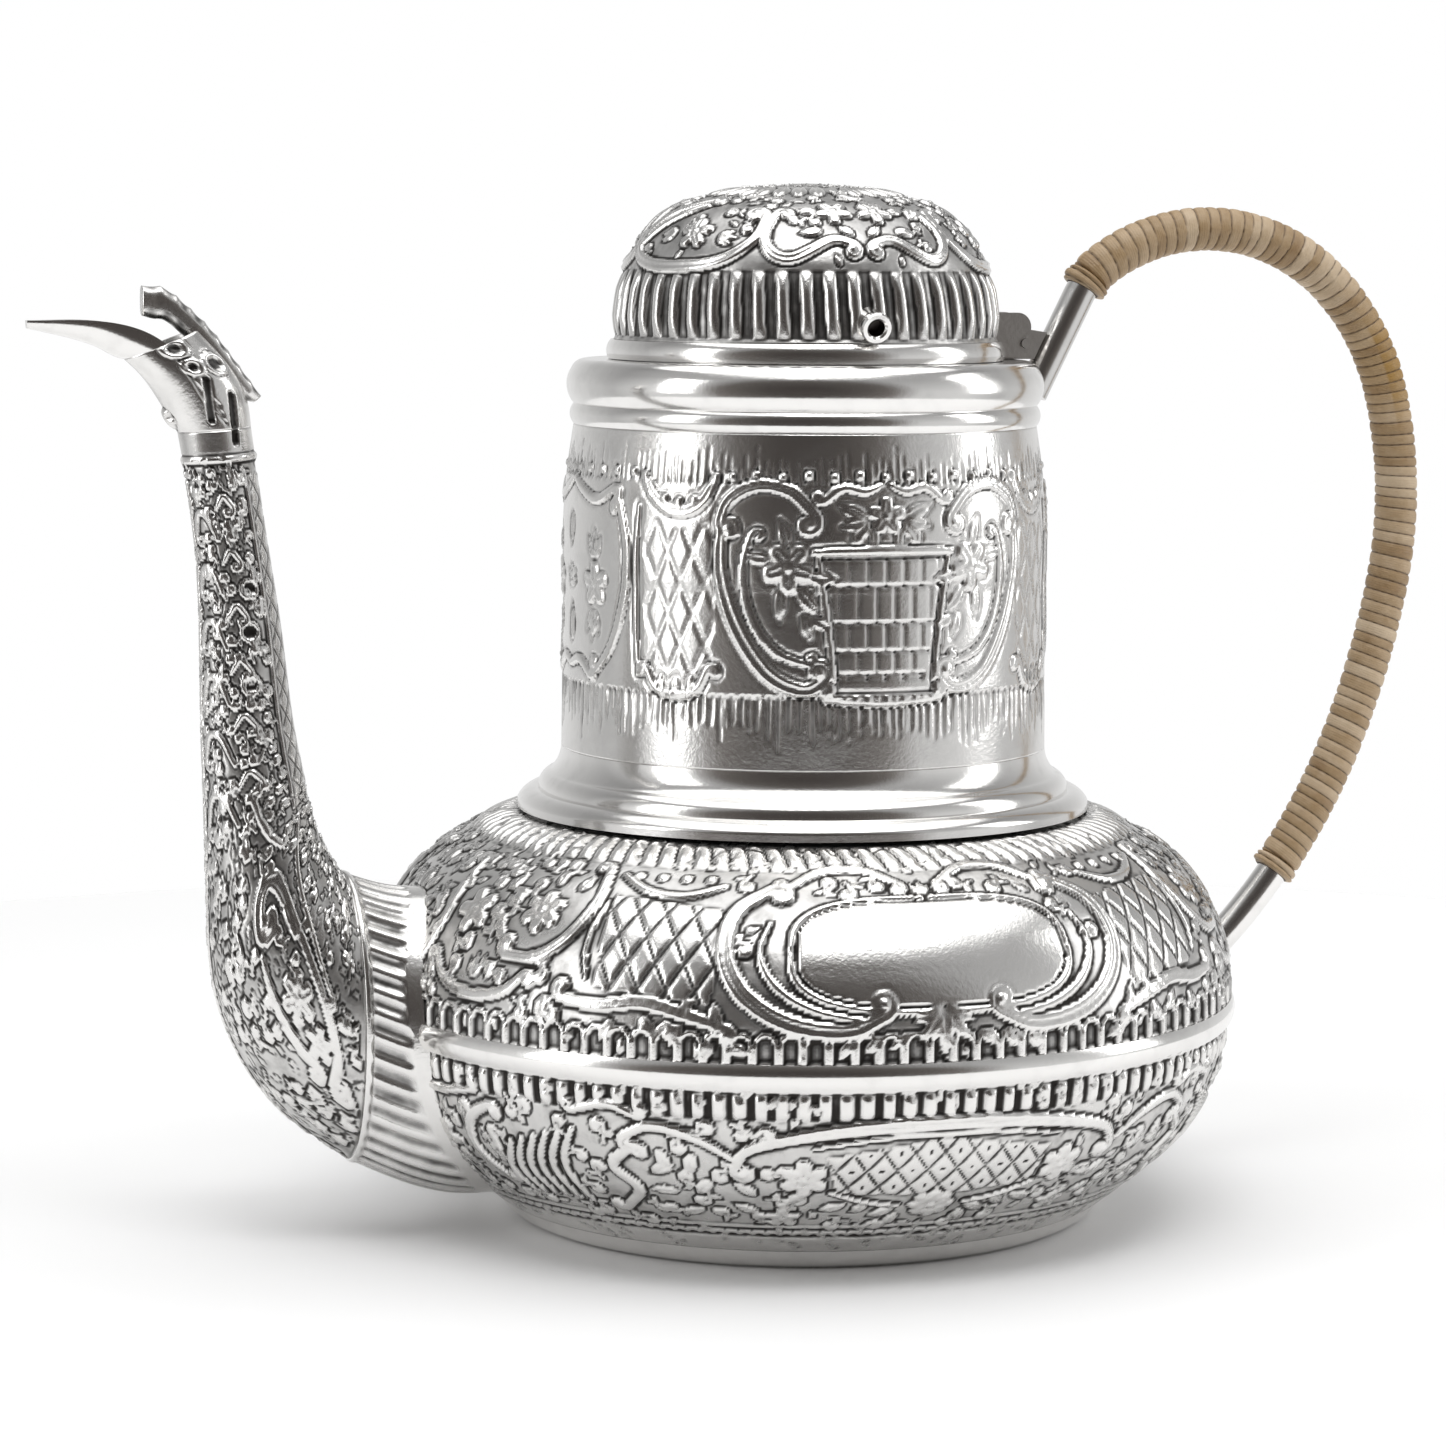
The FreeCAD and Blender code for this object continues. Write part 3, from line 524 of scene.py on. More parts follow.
def chased_shell(name, line, relief, gauge, material, pole=False):
    """A turned sheet with its relief outside and a plain face inside."""
    h, shade = relief.result(free_end=pole)
    angle = np.concatenate([relief.angle, relief.angle + 180])
    h, shade = np.hstack([h, h]), np.hstack([shade, shade])
    normal = outward(line)
    outer = turned_points(line[:, :1] + h * normal[:, :1], line[:, 1:] + h * normal[:, 1:], angle)
    keep = np.unique(np.linspace(0, len(line) - 1, 14).astype(int))
    inside = line[keep] - gauge * normal[keep]
    if pole:
        inside[-1] = (0.3, inside[-1, 1])
    inner = turned_points(inside[:, :1], inside[:, 1:], angle)
    return sheet(name, outer, inner, material, {"recess": (shade, 0.25)}, pole=pole)


def turned_piece(name, points, material, segments=288, fine=10):
    """A plain turned piece from a closed outline."""
    line = trace(list(points) + [points[0][-2:]], fine)[:-1]
    angle = np.linspace(0, 360, segments, endpoint=False)
    verts = turned_points(line[:, :1], line[:, 1:], angle).reshape(-1, 3)
    last = len(verts) - segments + np.arange(segments)
    quads = [grid_faces(len(line), segments, True), strip_faces(last, np.arange(segments), True)]
    flat = {"recess": np.zeros(len(verts))}
    return make_object(name, verts, np.concatenate(quads), material, flat, sharp=32)


def spline_values(knots, values, at):
    """Natural cubic spline through values at knots."""
    knots, values = np.asarray(knots, float), np.asarray(values, float)
    n, h = len(knots), np.diff(knots)
    m = np.eye(n)
    rhs = np.zeros((n, values.shape[1]))
    for i in range(1, n - 1):
        m[i, i - 1], m[i, i], m[i, i + 1] = h[i - 1], 2 * (h[i - 1] + h[i]), h[i]
        rhs[i] = 6 * ((values[i + 1] - values[i]) / h[i] - (values[i] - values[i - 1]) / h[i - 1])
    curve = np.linalg.solve(m, rhs)
    k = np.clip(np.searchsorted(knots, at, side="right") - 1, 0, n - 2)
    w = h[k][:, None]
    b = ((at - knots[k])[:, None]) / w
    a = 1 - b
    return (a * values[k] + b * values[k + 1]
            + ((a ** 3 - a) * curve[k] + (b ** 3 - b) * curve[k + 1]) * w ** 2 / 6)


class Tube:
    """Oval rings along a bent tube in the plane Y = 0."""

    def __init__(self, sections, step):
        rows = []
        for (xi, zi), (xo, zo), half in sections:
            rows.append(((xi + xo) / 2, (zi + zo) / 2, (xi - xo) / 2, (zi - zo) / 2, half))
        rows = np.array(rows)
        places = np.concatenate([[0], np.cumsum(np.hypot(*np.diff(rows[:, :2], axis=0).T))])
        count = int(round(places[-1] / step)) + 1
        self.along = np.linspace(0, places[-1], count)
        v = spline_values(places, rows, self.along)
        self.cx, self.cz, self.ax, self.az, self.half = v.T
        long_half = np.hypot(self.ax, self.az)
        self.radius = np.sqrt((long_half ** 2 + self.half ** 2) / 2)

    def locate(self, x, z):
        """The angle and the distance along the tube of a spot on its flank."""
        k = int(np.argmin((self.cx - x) ** 2 + (self.cz - z) ** 2))
        ax, az = self.ax[k], self.az[k]
        share = ((x - self.cx[k]) * ax + (z - self.cz[k]) * az) / (ax ** 2 + az ** 2)
        return math.degrees(math.acos(max(-1, min(1, share)))), self.along[k]

    def points(self, angle, height, side=1.0):
        """Surface points at angles from the handle side, pushed out by heights."""
        a = np.radians(angle)[None, :]
        along = lambda v: v[:, None]
        x = along(self.cx) + along(self.ax) * np.cos(a)
        z = along(self.cz) + along(self.az) * np.cos(a)
        y = along(self.half) * np.sin(a)
        long_half = np.hypot(self.ax, self.az)
        ux, uz = self.ax / long_half, self.az / long_half
        nl, ns = np.cos(a) / along(long_half), np.sin(a) / along(self.half)
        size = np.hypot(nl, ns)
        nl, ns = nl / size, ns / size
        return np.stack([x + height * nl * along(ux), side * (y + height * ns),
                         z + height * nl * along(uz)], -1)


# ---------------------------------------------------------------- materials

def node_material(name):
    material = bpy.data.materials.new(name)
    material.use_nodes = True
    tree = material.node_tree
    shader = tree.nodes["Principled BSDF"]
    return material, tree, shader


def add(tree, kind, inputs=None, **settings):
    node = tree.nodes.new(kind)
    for key, value in settings.items():
        setattr(node, key, value)
    for key, value in (inputs or {}).items():
        if hasattr(value, "links") or isinstance(value, bpy.types.NodeSocket):
            tree.links.new(value, node.inputs[key])
        else:
            node.inputs[key].default_value = value
    return node


def noise(tree, vector, scale, detail=4.0, rough=0.55):
    return add(tree, "ShaderNodeTexNoise", {"Vector": vector, "Scale": scale, "Detail": detail,
                                            "Roughness": rough}).outputs["Fac"]


def maths(tree, operation, a, b=0.5, c=0.5, clamp=False):
    node = add(tree, "ShaderNodeMath", operation=operation, use_clamp=clamp)
    for k, value in enumerate((a, b, c)):
        if isinstance(value, bpy.types.NodeSocket):
            tree.links.new(value, node.inputs[k])
        else:
            node.inputs[k].default_value = value
    return node.outputs[0]


def ramp(tree, factor, stops):
    node = add(tree, "ShaderNodeValToRGB", {"Fac": factor})
    band = node.color_ramp
    while len(band.elements) < len(stops):
        band.elements.new(0.5)
    for element, (place, colour) in zip(band.elements, stops):
        element.position = place
        element.color = (*colour, 1) if len(colour) == 3 else colour
    return node.outputs["Color"]


def bump(tree, height, strength, distance, normal=None):
    inputs = {"Height": height, "Strength": strength, "Distance": distance}
    if normal is not None:
        inputs["Normal"] = normal
    return add(tree, "ShaderNodeBump", inputs).outputs["Normal"]


def swing(tree, value, amount):
    """A noise turned into a shift either way of nothing."""
    return maths(tree, "MULTIPLY", maths(tree, "SUBTRACT", value, 0.5), amount)


def attribute(tree, name):
    return add(tree, "ShaderNodeAttribute", attribute_name=name).outputs["Fac"]


def blend(tree, share, first, second):
    """A colour socket mixed with a plain colour."""
    node = add(tree, "ShaderNodeMix", data_type="RGBA")
    tree.links.new(share, node.inputs[0])
    tree.links.new(first, node.inputs[6])
    node.inputs[7].default_value = (*second, 1)
    return node.outputs[2]


def silver(name, bright, oxide_and_shade, rough, tarnish, grain, shaded=True):
    """Silver: polished where it is raised, oxidised in its recesses, finely tooled; its recess layer also
    carries painted shade in holes, slots and bores.
    """
    material, tree, shader = node_material(name)
    place = add(tree, "ShaderNodeTexCoord").outputs["Object"]
    fine = noise(tree, place, 1300, 3, 0.6)
    patch = noise(tree, place, 70, 5, 0.6)
    wide = noise(tree, place, 240, 4, 0.55)
    if shaded:
        # the recess layer is partly oxide and partly painted shade in holes, slots and bores
        depth = maths(tree, "ADD", attribute(tree, "recess"), swing(tree, wide, 0.5))
    else:
        depth = swing(tree, wide, 0.6)
    depth = maths(tree, "ADD", depth, swing(tree, patch, tarnish), clamp=True)
    colour = ramp(tree, depth, [(0.0, bright), (0.34, tuple(0.8 * b for b in bright)),
                                (0.62, tuple(0.5 * o + 0.16 * b for o, b in zip(oxide_and_shade, bright))),
                                (0.92, oxide_and_shade)])
    tree.links.new(colour, shader.inputs["Base Color"])
    shader.inputs["Metallic"].default_value = 1.0
    gloss = maths(tree, "MULTIPLY_ADD", depth, 0.3, rough)
    gloss = maths(tree, "MULTIPLY_ADD", patch, 0.1, gloss)
    tree.links.new(gloss, shader.inputs["Roughness"])
    first = bump(tree, fine, grain, 0.00012)
    second = bump(tree, wide, grain * 0.2, 0.0003, first)
    tree.links.new(second, shader.inputs["Normal"])
    return material


def cane_material():
    """Split cane: glossy skin with fibres, each turn of its own tone, with painted shade in the gaps between
    turns.
    """
    material, tree, shader = node_material("cane")
    place = add(tree, "ShaderNodeTexCoord").outputs["Object"]
    strand, across, tint, recess = (attribute(tree, key) for key in ("strand", "across", "tint", "recess"))
    blotch = noise(tree, place, 260, 4, 0.6)
    fine = noise(tree, place, 1500, 3, 0.6)
    mixed = maths(tree, "ADD", maths(tree, "MULTIPLY", strand, 0.55), maths(tree, "MULTIPLY", blotch, 0.6))
    colour = ramp(tree, mixed, [(0.12, (0.26, 0.155, 0.07)), (0.38, (0.39, 0.265, 0.14)),
                                (0.62, (0.50, 0.365, 0.225)), (0.92, (0.64, 0.505, 0.35))])
    colour = blend(tree, tint, colour, (0.36, 0.20, 0.04))
    # painted shade: the recess layer darkens the gaps between the turns
    colour = blend(tree, maths(tree, "MULTIPLY", recess, 0.9, clamp=True), colour, (0.06, 0.035, 0.018))
    tree.links.new(colour, shader.inputs["Base Color"])
    tree.links.new(maths(tree, "MULTIPLY_ADD", blotch, 0.3, 0.30), shader.inputs["Roughness"])
    fibre = maths(tree, "SINE", maths(tree, "MULTIPLY", across, 34.0))
    first = bump(tree, fibre, 0.25, 0.00008)
    second = bump(tree, fine, 0.35, 0.00025, first)
    tree.links.new(second, shader.inputs["Normal"])
    return material


def floor_material():
    material, tree, shader = node_material("pale_floor")
    place = add(tree, "ShaderNodeTexCoord").outputs["Object"]
    soft = noise(tree, place, 3, 3, 0.5)
    colour = ramp(tree, soft, [(0.2, (0.93, 0.93, 0.93)), (0.8, (0.96, 0.96, 0.96))])
    tree.links.new(colour, shader.inputs["Base Color"])
    shader.inputs["Roughness"].default_value = 0.65
    return material


SILVER = (0.80, 0.79, 0.775)
# the dark end of the recess ramp: oxide, and painted shade in holes and slots
OXIDE_AND_SHADE = (0.035, 0.032, 0.030)
BRIGHT = (0.84, 0.83, 0.815)
DULL = (0.10, 0.09, 0.085)
chased = silver("chased_silver", SILVER, OXIDE_AND_SHADE, 0.15, 0.30, 0.32)
polished = silver("polished_silver", BRIGHT, DULL, 0.10, 0.22, 0.10)
plain = silver("plain_silver", BRIGHT, DULL, 0.10, 0.22, 0.08, False)
dark = silver("dark_silver", (0.46, 0.44, 0.42), OXIDE_AND_SHADE, 0.28, 0.9, 0.35, False)
cane = cane_material()


def place_on(made, body, slot_name, *nodes):
    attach(made, body)
    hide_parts(*nodes)
    return made


# ---------------------------------------------------------------- the neck

NECK = [(44.9, 86.8), (44.5, 118.0), (44.2, 134.8, 43.2, 142.8), (42.7, 146.2)]
BOWL = [(57.0, 3.8), (65.4, 10.5, 72.2, 17.2), (77.5, 26.6, 79.4, 39.1)]
SHOULDER = [(79.7, 39.1), (79.6, 48.0, 76.8, 56.8), (71.6, 64.6, 64.0, 70.4), (58.0, 73.4, 50.5, 75.6)]
DOME = [(35.4, 161.6), (34.9, 168.6, 33.2, 176.0), (29.2, 182.3, 22.6, 186.6), (12.4, 189.4, 2.0, 190.2),
        (0.3, 190.2)]
GAUGE = 1.1


def half_relief(outline, step, pitch, ground):
    """A relief over half of a turned surface; the other half repeats it."""
    line, along = evenly(trace(outline), step=step)
    widest = line[:, 0].max()
    columns = int(round(math.pi * widest / pitch))
    return line, Relief(-90.0, 180.0, columns, along, line[:, 1], np.maximum(line[:, 0], 1.0), ground, True)


def chase_neck():
    line, c = half_relief(NECK, 0.4, 0.42, 0.0)
    c.moat, c.stain = (0.75, 0.24), 0.16
    c.mirrors = [0.0]
    # lattice panels beside the cartouche, and the basket at its heart
    c.lattice(c.region([(-58, 104), (-40.5, 104), (-39, 131), (-48.5, 129), (-59, 132)]), 48.5, 5.0, 11.0,
              depth=0.2, half=0.3, double=0.22)
    c.mirrors = []
    basket = c.region([(-11.5, 103), (9.5, 103), (15.5, 124.5), (-15.5, 124.5)])
    rows = np.searchsorted([104.0, 108.0, 113.0, 119.5], c.heights)
    a_grid = np.broadcast_to(c.angle, c.base.shape)
    brick = (a_grid / 4.4 + 0.5 * (rows[:, None] % 2)) % 1
    joint = np.minimum(brick, 1 - brick) * 4.4 * math.radians(44.5)
    rails = np.array([103.0, 104.0, 108.0, 113.0, 119.5, 124.5])
    edges = np.abs(c.heights[:, None] - rails[None, :]).min(1)
    brickwork = 0.04 - 0.2 * np.exp(-(joint / 0.32) ** 2) - 0.24 * np.exp(-(edges[:, None] / 0.36) ** 2)
    c.base[basket] = brickwork[basket]
    c.line([(-16.5, 125.6), (0, 125.9), (16.5, 125.6)], 1.0, 0.45, (0.6, 0.6))
    c.line([(-13, 99.8), (0, 99.4), (13, 99.8)], 1.25, 0.5, first=(-1, 1.6, 0.8), last=(1, 1.6, 0.8))
    c.flower(0, 131.8, 3.3, 5)
    c.mirrors = [0.0]
    c.line([(-12.0, 103), (-15.8, 124.8)], 0.8, 0.4, (0.45, 0.45))
    for k, tilt in enumerate((150, 185, 215)):
        c.leaf(-4.5, 131.5 - 0.6 * k, 6.2 - k, 1.15, tilt, 0.32, bend=12)
    for k, a in enumerate((-7.5, -3.0)):
        c.leaf(a, 127.0, 3.6, 0.9, 70 + 24 * k, 0.3)
    # the top scroll, the long C scroll and its shell-edged inner wave
    c.line([(-38.5, 131.0), (-36.5, 134.6), (-30, 137.2), (-22, 136.2), (-16.5, 132.0)], 1.25, 0.55,
           (0.55, 0.55), first=(1, 2.1, 1.0), last=(-1, 2.1, 1.0), channel=0.4)
    c.line([(-38.0, 129.0), (-38.4, 123), (-36.4, 116), (-32.0, 109), (-26, 103.4), (-18.5, 101.2),
            (-14.5, 103.0)], 1.7, 0.6, (0.45, 0.5), first=(-1, 1.9, 0.75), last=(1, 2.1, 0.9),
           channel=0.45)
    c.line([(-31.0, 128.5), (-32.8, 123.5), (-32.4, 117.5), (-29.6, 111.8), (-24.6, 107.6),
            (-18.0, 105.8)], 0.95, 0.42, (0.4, 0.4), first=(-1, 1.5, 0.7), last=(1, 1.4, 0.7),
           channel=0.2)
    c.flower(-22.5, 122.8, 4.4, 5, 54)
    for tilt, size in ((-62, 6.2), (-105, 6.0), (-20, 4.6), (160, 4.4), (95, 5.0)):
        way = math.radians(tilt)
        angle, z = -22.5 + 4.0 * math.cos(way) / 0.777, 122.8 + 4.0 * math.sin(way)
        c.leaf(angle, z, size, 1.05, tilt, 0.3, bend=20)
    c.leaf(-19.0, 114.5, 5.0, 1.0, -75, 0.28)
    c.leaf(-17.0, 114.0, 4.4, 0.9, -30, 0.28)
    c.line([(-14.5, 134.5), (-10, 137.0), (-5, 136.0), (-1.0, 137.4)], 0.9, 0.4, first=(-1, 1.3, 0.8))
    # garland over the lattice, its borders, and the small arch under it
    c.line([(-59.5, 138.5), (-55, 134.3), (-49, 132.2), (-43, 134.0), (-39.8, 138.5)], 1.3, 0.45,
           (0.6, 0.6), channel=0.3)
    for k, a in enumerate((-57, -53, -49, -45, -41.5)):
        c.stamp(a, c.at(136.6 - 2.6 * math.cos((a + 49) / 10 * 1.4)), 0.95, 0.42)
    c.line([(-60.3, 103), (-61.2, 118), (-60.3, 133)], 0.7, 0.36, (0.6, 0.6))
    c.line([(-41.5, 104.5), (-44, 100.8), (-49.5, 99.6), (-55, 100.8), (-57.5, 104.0)], 1.0, 0.42,
           first=(-1, 1.5, 0.9), last=(1, 1.5, 0.9))
    for a in (-53.5, -49.5, -45.5):
        c.leaf(a, 100.6, 3.0, 0.8, 90, 0.28)
    # small cartouche centred on the spout and on the handle
    c.line([(-66.5, 132.5), (-64.0, 125), (-65.2, 116), (-69.5, 107.5), (-75.0, 103.0)], 1.15, 0.5,
           (0.45, 0.45), first=(1, 1.7, 0.9), last=(-1, 1.7, 0.9), channel=0.26)
    c.line([(-69.0, 135.8), (-76, 133.4), (-84, 135.0), (-90, 137.2)], 1.0, 0.45, (0.5, 0.7),
           first=(-1, 1.5, 0.8))
    c.line([(-78.0, 101.6), (-84, 104.2), (-90, 103.2)], 1.0, 0.45, (0.5, 0.7), first=(1, 1.4, 0.8))
    c.flower(-76.5, 118.2, 3.9, 5, 20)
    c.spray(-76.5, 123.0, 5.4, 92)
    c.spray(-77.0, 113.2, 5.4, -96)
    c.leaf(-90, 107.5, 7.0, 1.5, 90, 0.36)
    c.leaf(-90, 130.5, 6.0, 1.3, -90, 0.34)
    c.spray(-88.0, 118.0, 4.6, 150)
    for k, a in enumerate(np.arange(-36, 1, 6.0)):
        c.stamp(a, c.at(139.0 if k % 2 else 138.6), 0.75, 0.35)
    for a in np.arange(-87, -62, 6.0):
        c.stamp(a, c.at(139.0), 0.75, 0.35)
    c.mirrors = []
    c.fringe(90.0, 99.6, 78, 0.66, 0.34)
    c.fringe(91.5, 99.6, 50, 0.45, 0.28)
    c.fringe(137.5, 144.6, 92, 0.46, 0.26, False)
    return line, c


def chase_shoulder():
    line, c = half_relief(SHOULDER, 0.5, 0.5, -0.3)
    c.belt(39.1, 41.4, 0.0)
    c.mirrors = [-1.0]
    c.lattice(c.region([(-46, 53.0), (-30.5, 51.0), (-28.5, 66.0), (-36, 66.8), (-47, 67.5)]), 38, 5.2,
              9.5, level=0.0, depth=0.38, half=0.42)
    plate = c.oval(-1.0, 59.2, 18.5, 8.2)
    c.base[c.oval(-1.0, 59.2, 18.5, 8.2, 1.0)] = -0.5
    c.base[plate] = 0.22
    turn = np.radians(np.linspace(0, 360, 240))
    top, bottom, middle = c.at(67.4), c.at(51.0), (c.at(67.4) + c.at(51.0)) / 2
    c.mirrors = []
    half, power = (top - bottom) / 2 + 1.0, 2 / OBLONG
    across, up = rounded(np.cos(turn), power), rounded(np.sin(turn), power)
    c.stamp(-1 + 19.4 * across, middle + half * up, 0.7, 0.42)
    c.mirrors = [-1.0]
    # the frame of scrolls around the plain cartouche
    c.line([(-23.5, 69.2), (-28.0, 66.0), (-29.0, 60.0), (-26.5, 53.5), (-21.0, 48.6), (-13.5, 47.0),
            (-8.5, 49.6)], 2.1, 0.75, (0.42, 0.42), first=(-1, 2.3, 1.0), last=(1, 2.3, 1.0),
           channel=0.55)
    c.line([(-23.2, 64.5), (-24.4, 59.5), (-21.8, 54.0), (-16.5, 50.2), (-9.0, 48.6)], 1.0, 0.5, (0.4, 0.4))
    c.line([(-21.0, 69.6), (-16, 71.8), (-9.5, 72.0), (-4.0, 70.0)], 1.2, 0.5, first=(-1, 1.7, 0.8),
           last=(-1, 1.7, 0.8), channel=0.3)
    c.spray(-1.0, 68.6, 4.0, 90, 3, 42)
    for tilt, size in ((-90, 9.0), (-122, 7.6), (-152, 6.2)):
        c.leaf(-1.0, 50.6, size, 1.45, tilt, 0.42, bend=-14 if tilt != -90 else 0)
    for k, a in enumerate((-5.5, -9.0, -12.5)):
        c.leaf(a, 46.4 - 0.3 * k, 4.6, 1.0, 215 + 10 * k, 0.34)
    # garland, lattice borders, leaves under the lattice
    c.line([(-47.5, 70.4), (-42, 68.4), (-36, 68.0), (-30.5, 69.6)], 1.1, 0.42, (0.6, 0.6))
    for a in (-45, -41, -37, -33):
        c.stamp(a, c.at(70.4), 1.05, 0.4)
    c.line([(-47.4, 54.5), (-48.4, 60), (-47.4, 66.6)], 0.7, 0.36)
    c.line([(-28.0, 47.2), (-33, 49.2), (-39, 51.0), (-45, 50.0), (-50.5, 50.6)], 1.6, 0.55, (0.45, 0.45),
           first=(-1, 1.5, 0.9), last=(-1, 1.9, 0.9), channel=0.35)
    for k, (a, z, tilt) in enumerate(((-29, 47.6, 118), (-34, 48.6, 60), (-34, 47.6, -110), (-39, 48.4, -60),
                                      (-43, 47.6, -115), (-28, 44.6, -30))):
        c.leaf(a, z, 4.8, 1.15, tilt, 0.34, bend=18 if k % 2 else -18)
    # J scroll, two flowers and the U scroll beside the spout and the handle
    c.line([(-50.5, 71.0), (-49.2, 66.5), (-51.5, 60.5), (-56.0, 56.6), (-61.0, 56.4)], 1.5, 0.6,
           (0.45, 0.5), first=(1, 1.8, 0.7), last=(-1, 2.0, 1.0), channel=0.32)
    c.flower(-57.5, 64.0, 4.3, 6)
    c.flower(-70.5, 62.5, 4.6, 5, 40)
    for a, z, tilt in ((-57.5, 68.0, 95), (-62.0, 66.0, 160), (-53.5, 67.6, 60), (-64.0, 61.0, -60),
                       (-75.5, 65.4, 130), (-66.5, 66.4, 60), (-76.0, 59.4, 205)):
        c.leaf(a, z, 4.8, 1.15, tilt, 0.34, bend=20)
    c.line([(-57.0, 53.5), (-60, 50.2), (-66, 48.8), (-72, 50.6), (-74.5, 54.4)], 1.35, 0.55,
           first=(-1, 1.8, 0.8), last=(1, 1.8, 0.8), channel=0.26)
    c.spray(-66, 51.8, 4.8, 90, 3, 40)
    c.line([(-78, 69.6), (-76.4, 60), (-79.5, 50)], 1.2, 0.5, first=(1, 1.8, 0.9), last=(-1, 1.8, 0.9))
    for k in range(5):
        c.leaf(-90, 50 + 4.4 * k, 4.8, 1.5, 90, 0.4)
        c.leaf(-88.4, 50 + 4.4 * k, 5.4, 1.2, 38, 0.36, bend=20)
    c.mirrors = []
    c.tendrils(1500, 4.6, 0.62, 0.22, 47.5, 71.0)
    c.thicket(900, 3.2, 0.16)
    c.base[(c.heights > 41.6) & (c.heights < 46.4)] = -0.5
    c.arcade(41.6, 46.4, 58, 0.42, 0.3)
    c.flutes(71.9, 75.0, 56, 0.5, blunt=0.9, lean=0.7, notch=0.2)
    return line, c


def chase_bowl():
    line, c = half_relief(BOWL, 0.5, 0.5, -0.3)
    c.mirrors = [0.0]
    # a lattice with dotted diamonds at the centre, under a long double crescent
    c.mirrors = []
    c.lattice(c.region([(-14, 17.5), (0, 16.5), (14, 17.5), (15.5, 24.5), (0, 28.0), (-15.5, 24.5)]), 0,
              5.4, 7.4, level=0.02, depth=0.36, half=0.42, dots=0.07)
    c.line([(-27.5, 22.6), (-25, 26.4), (-14, 29.6), (0, 30.6), (13, 29.6), (24, 26.8), (26.5, 23.4)],
           1.7, 0.65, (0.42, 0.42), first=(1, 2.2, 1.0), last=(-1, 2.2, 1.0), channel=0.5)
    c.line([(-17, 26.4), (-8, 28.2), (0, 28.6), (8, 28.2), (17, 26.6)], 0.7, 0.35, (0.4, 0.4))
    c.flower(0.0, 14.6, 4.0, 8)
    c.mirrors = [0.0]
    c.flower(-18.5, 20.4, 4.2, 6)
    c.line([(-14.8, 17.6), (-9.5, 15.4), (-5.0, 14.6)], 0.65, 0.36, (0.7, 0.7))
    c.leaf(-5.6, 14.0, 5.4, 1.2, 205, 0.34, bend=16)
    c.leaf(-5.0, 12.6, 4.4, 1.1, 250, 0.32)
    c.leaf(-9.6, 15.4, 4.6, 1.1, 240, 0.34, bend=-18)
    c.leaf(-12.8, 15.0, 5.4, 1.2, 196, 0.34, bend=18)
    c.flower(-21.5, 12.2, 3.0, 5)
    c.leaf(-25.0, 13.4, 5.0, 1.2, 160, 0.34, bend=-18)
    c.leaf(-25.0, 17.0, 5.2, 1.2, 130, 0.34, bend=18)
    c.line([(-27.5, 24.0), (-32, 27.6), (-38, 29.6), (-42.0, 27.4)], 1.2, 0.5, last=(1, 1.8, 0.8),
           channel=0.22)
    c.line([(-40.0, 31.2), (-44, 33.0), (-49, 31.2)], 1.1, 0.5, first=(1, 1.5, 0.7), last=(-1, 1.5, 0.7))
    c.line([(-41.0, 25.4), (-44.5, 21.5), (-41.5, 17.0), (-45.0, 12.6)], 1.35, 0.52, (0.5, 0.45),
           first=(-1, 1.7, 0.8), last=(-1, 1.8, 0.9), channel=0.28)
    for a, z, tilt in ((-33, 24.6, 250), (-36, 22.4, 200), (-31, 19.6, 225), (-36, 17.0, 170),
                       (-33, 13.6, 200), (-37.5, 25.0, 285)):
        c.leaf(a, z, 5.2, 1.25, tilt, 0.34, bend=18)
    # diagonal gadroons, then a scroll and leaves towards the spout and the handle
    for k in range(6):
        a = -49.5 - 2.2 * k
        c.line([(a, 27.5 - 0.8 * k), (a - 2.6, 20.5 - 0.6 * k), (a - 1.4, 13.0)], 1.0, 0.42, (0.55, 0.4))
    c.line([(-63.0, 29.6), (-67.5, 26.4), (-69.0, 20.6), (-65.5, 15.2)], 1.5, 0.6, (0.45, 0.45),
           first=(-1, 1.8, 0.9), last=(1, 1.9, 0.9), channel=0.3)
    c.line([(-66.0, 31.6), (-74, 30.4), (-82, 32.0), (-90, 31.0)], 1.1, 0.5, (0.5, 0.7),
           first=(1, 1.6, 0.8))
    c.flower(-76.5, 22.0, 4.4, 6, 30)
    c.spray(-76.5, 26.4, 5.0, 90, 3, 42)
    c.spray(-77.0, 17.4, 5.0, -92, 3, 42)
    for k in range(3):
        c.leaf(-90, 12.5 + 5.4 * k, 5.6, 1.5, 90, 0.38)
        c.leaf(-88.2, 13.0 + 5.4 * k, 5.4, 1.2, 30, 0.34, bend=22)
    c.mirrors = []
    c.tendrils(1500, 4.6, 0.62, 0.2, 10.5, 31.0)
    c.thicket(900, 3.2, 0.14)
    c.belt(36.4, 39.1, 0.0)
    c.belt(3.8, 7.2, 0.0)
    t = c.at(8.3)
    c.base[np.abs(c.along - t) < 1.4] = -0.55
    c.stamp(c.angle[::2], t + 0.35 * np.sin(c.angle[::2] * 2.9), 0.75, -0.05)
    c.belt(9.6, 10.2, -0.05)
    c.flutes(31.4, 36.3, 68, 0.3, blunt=0.35, duty=0.66, notch=0.8)
    return line, c


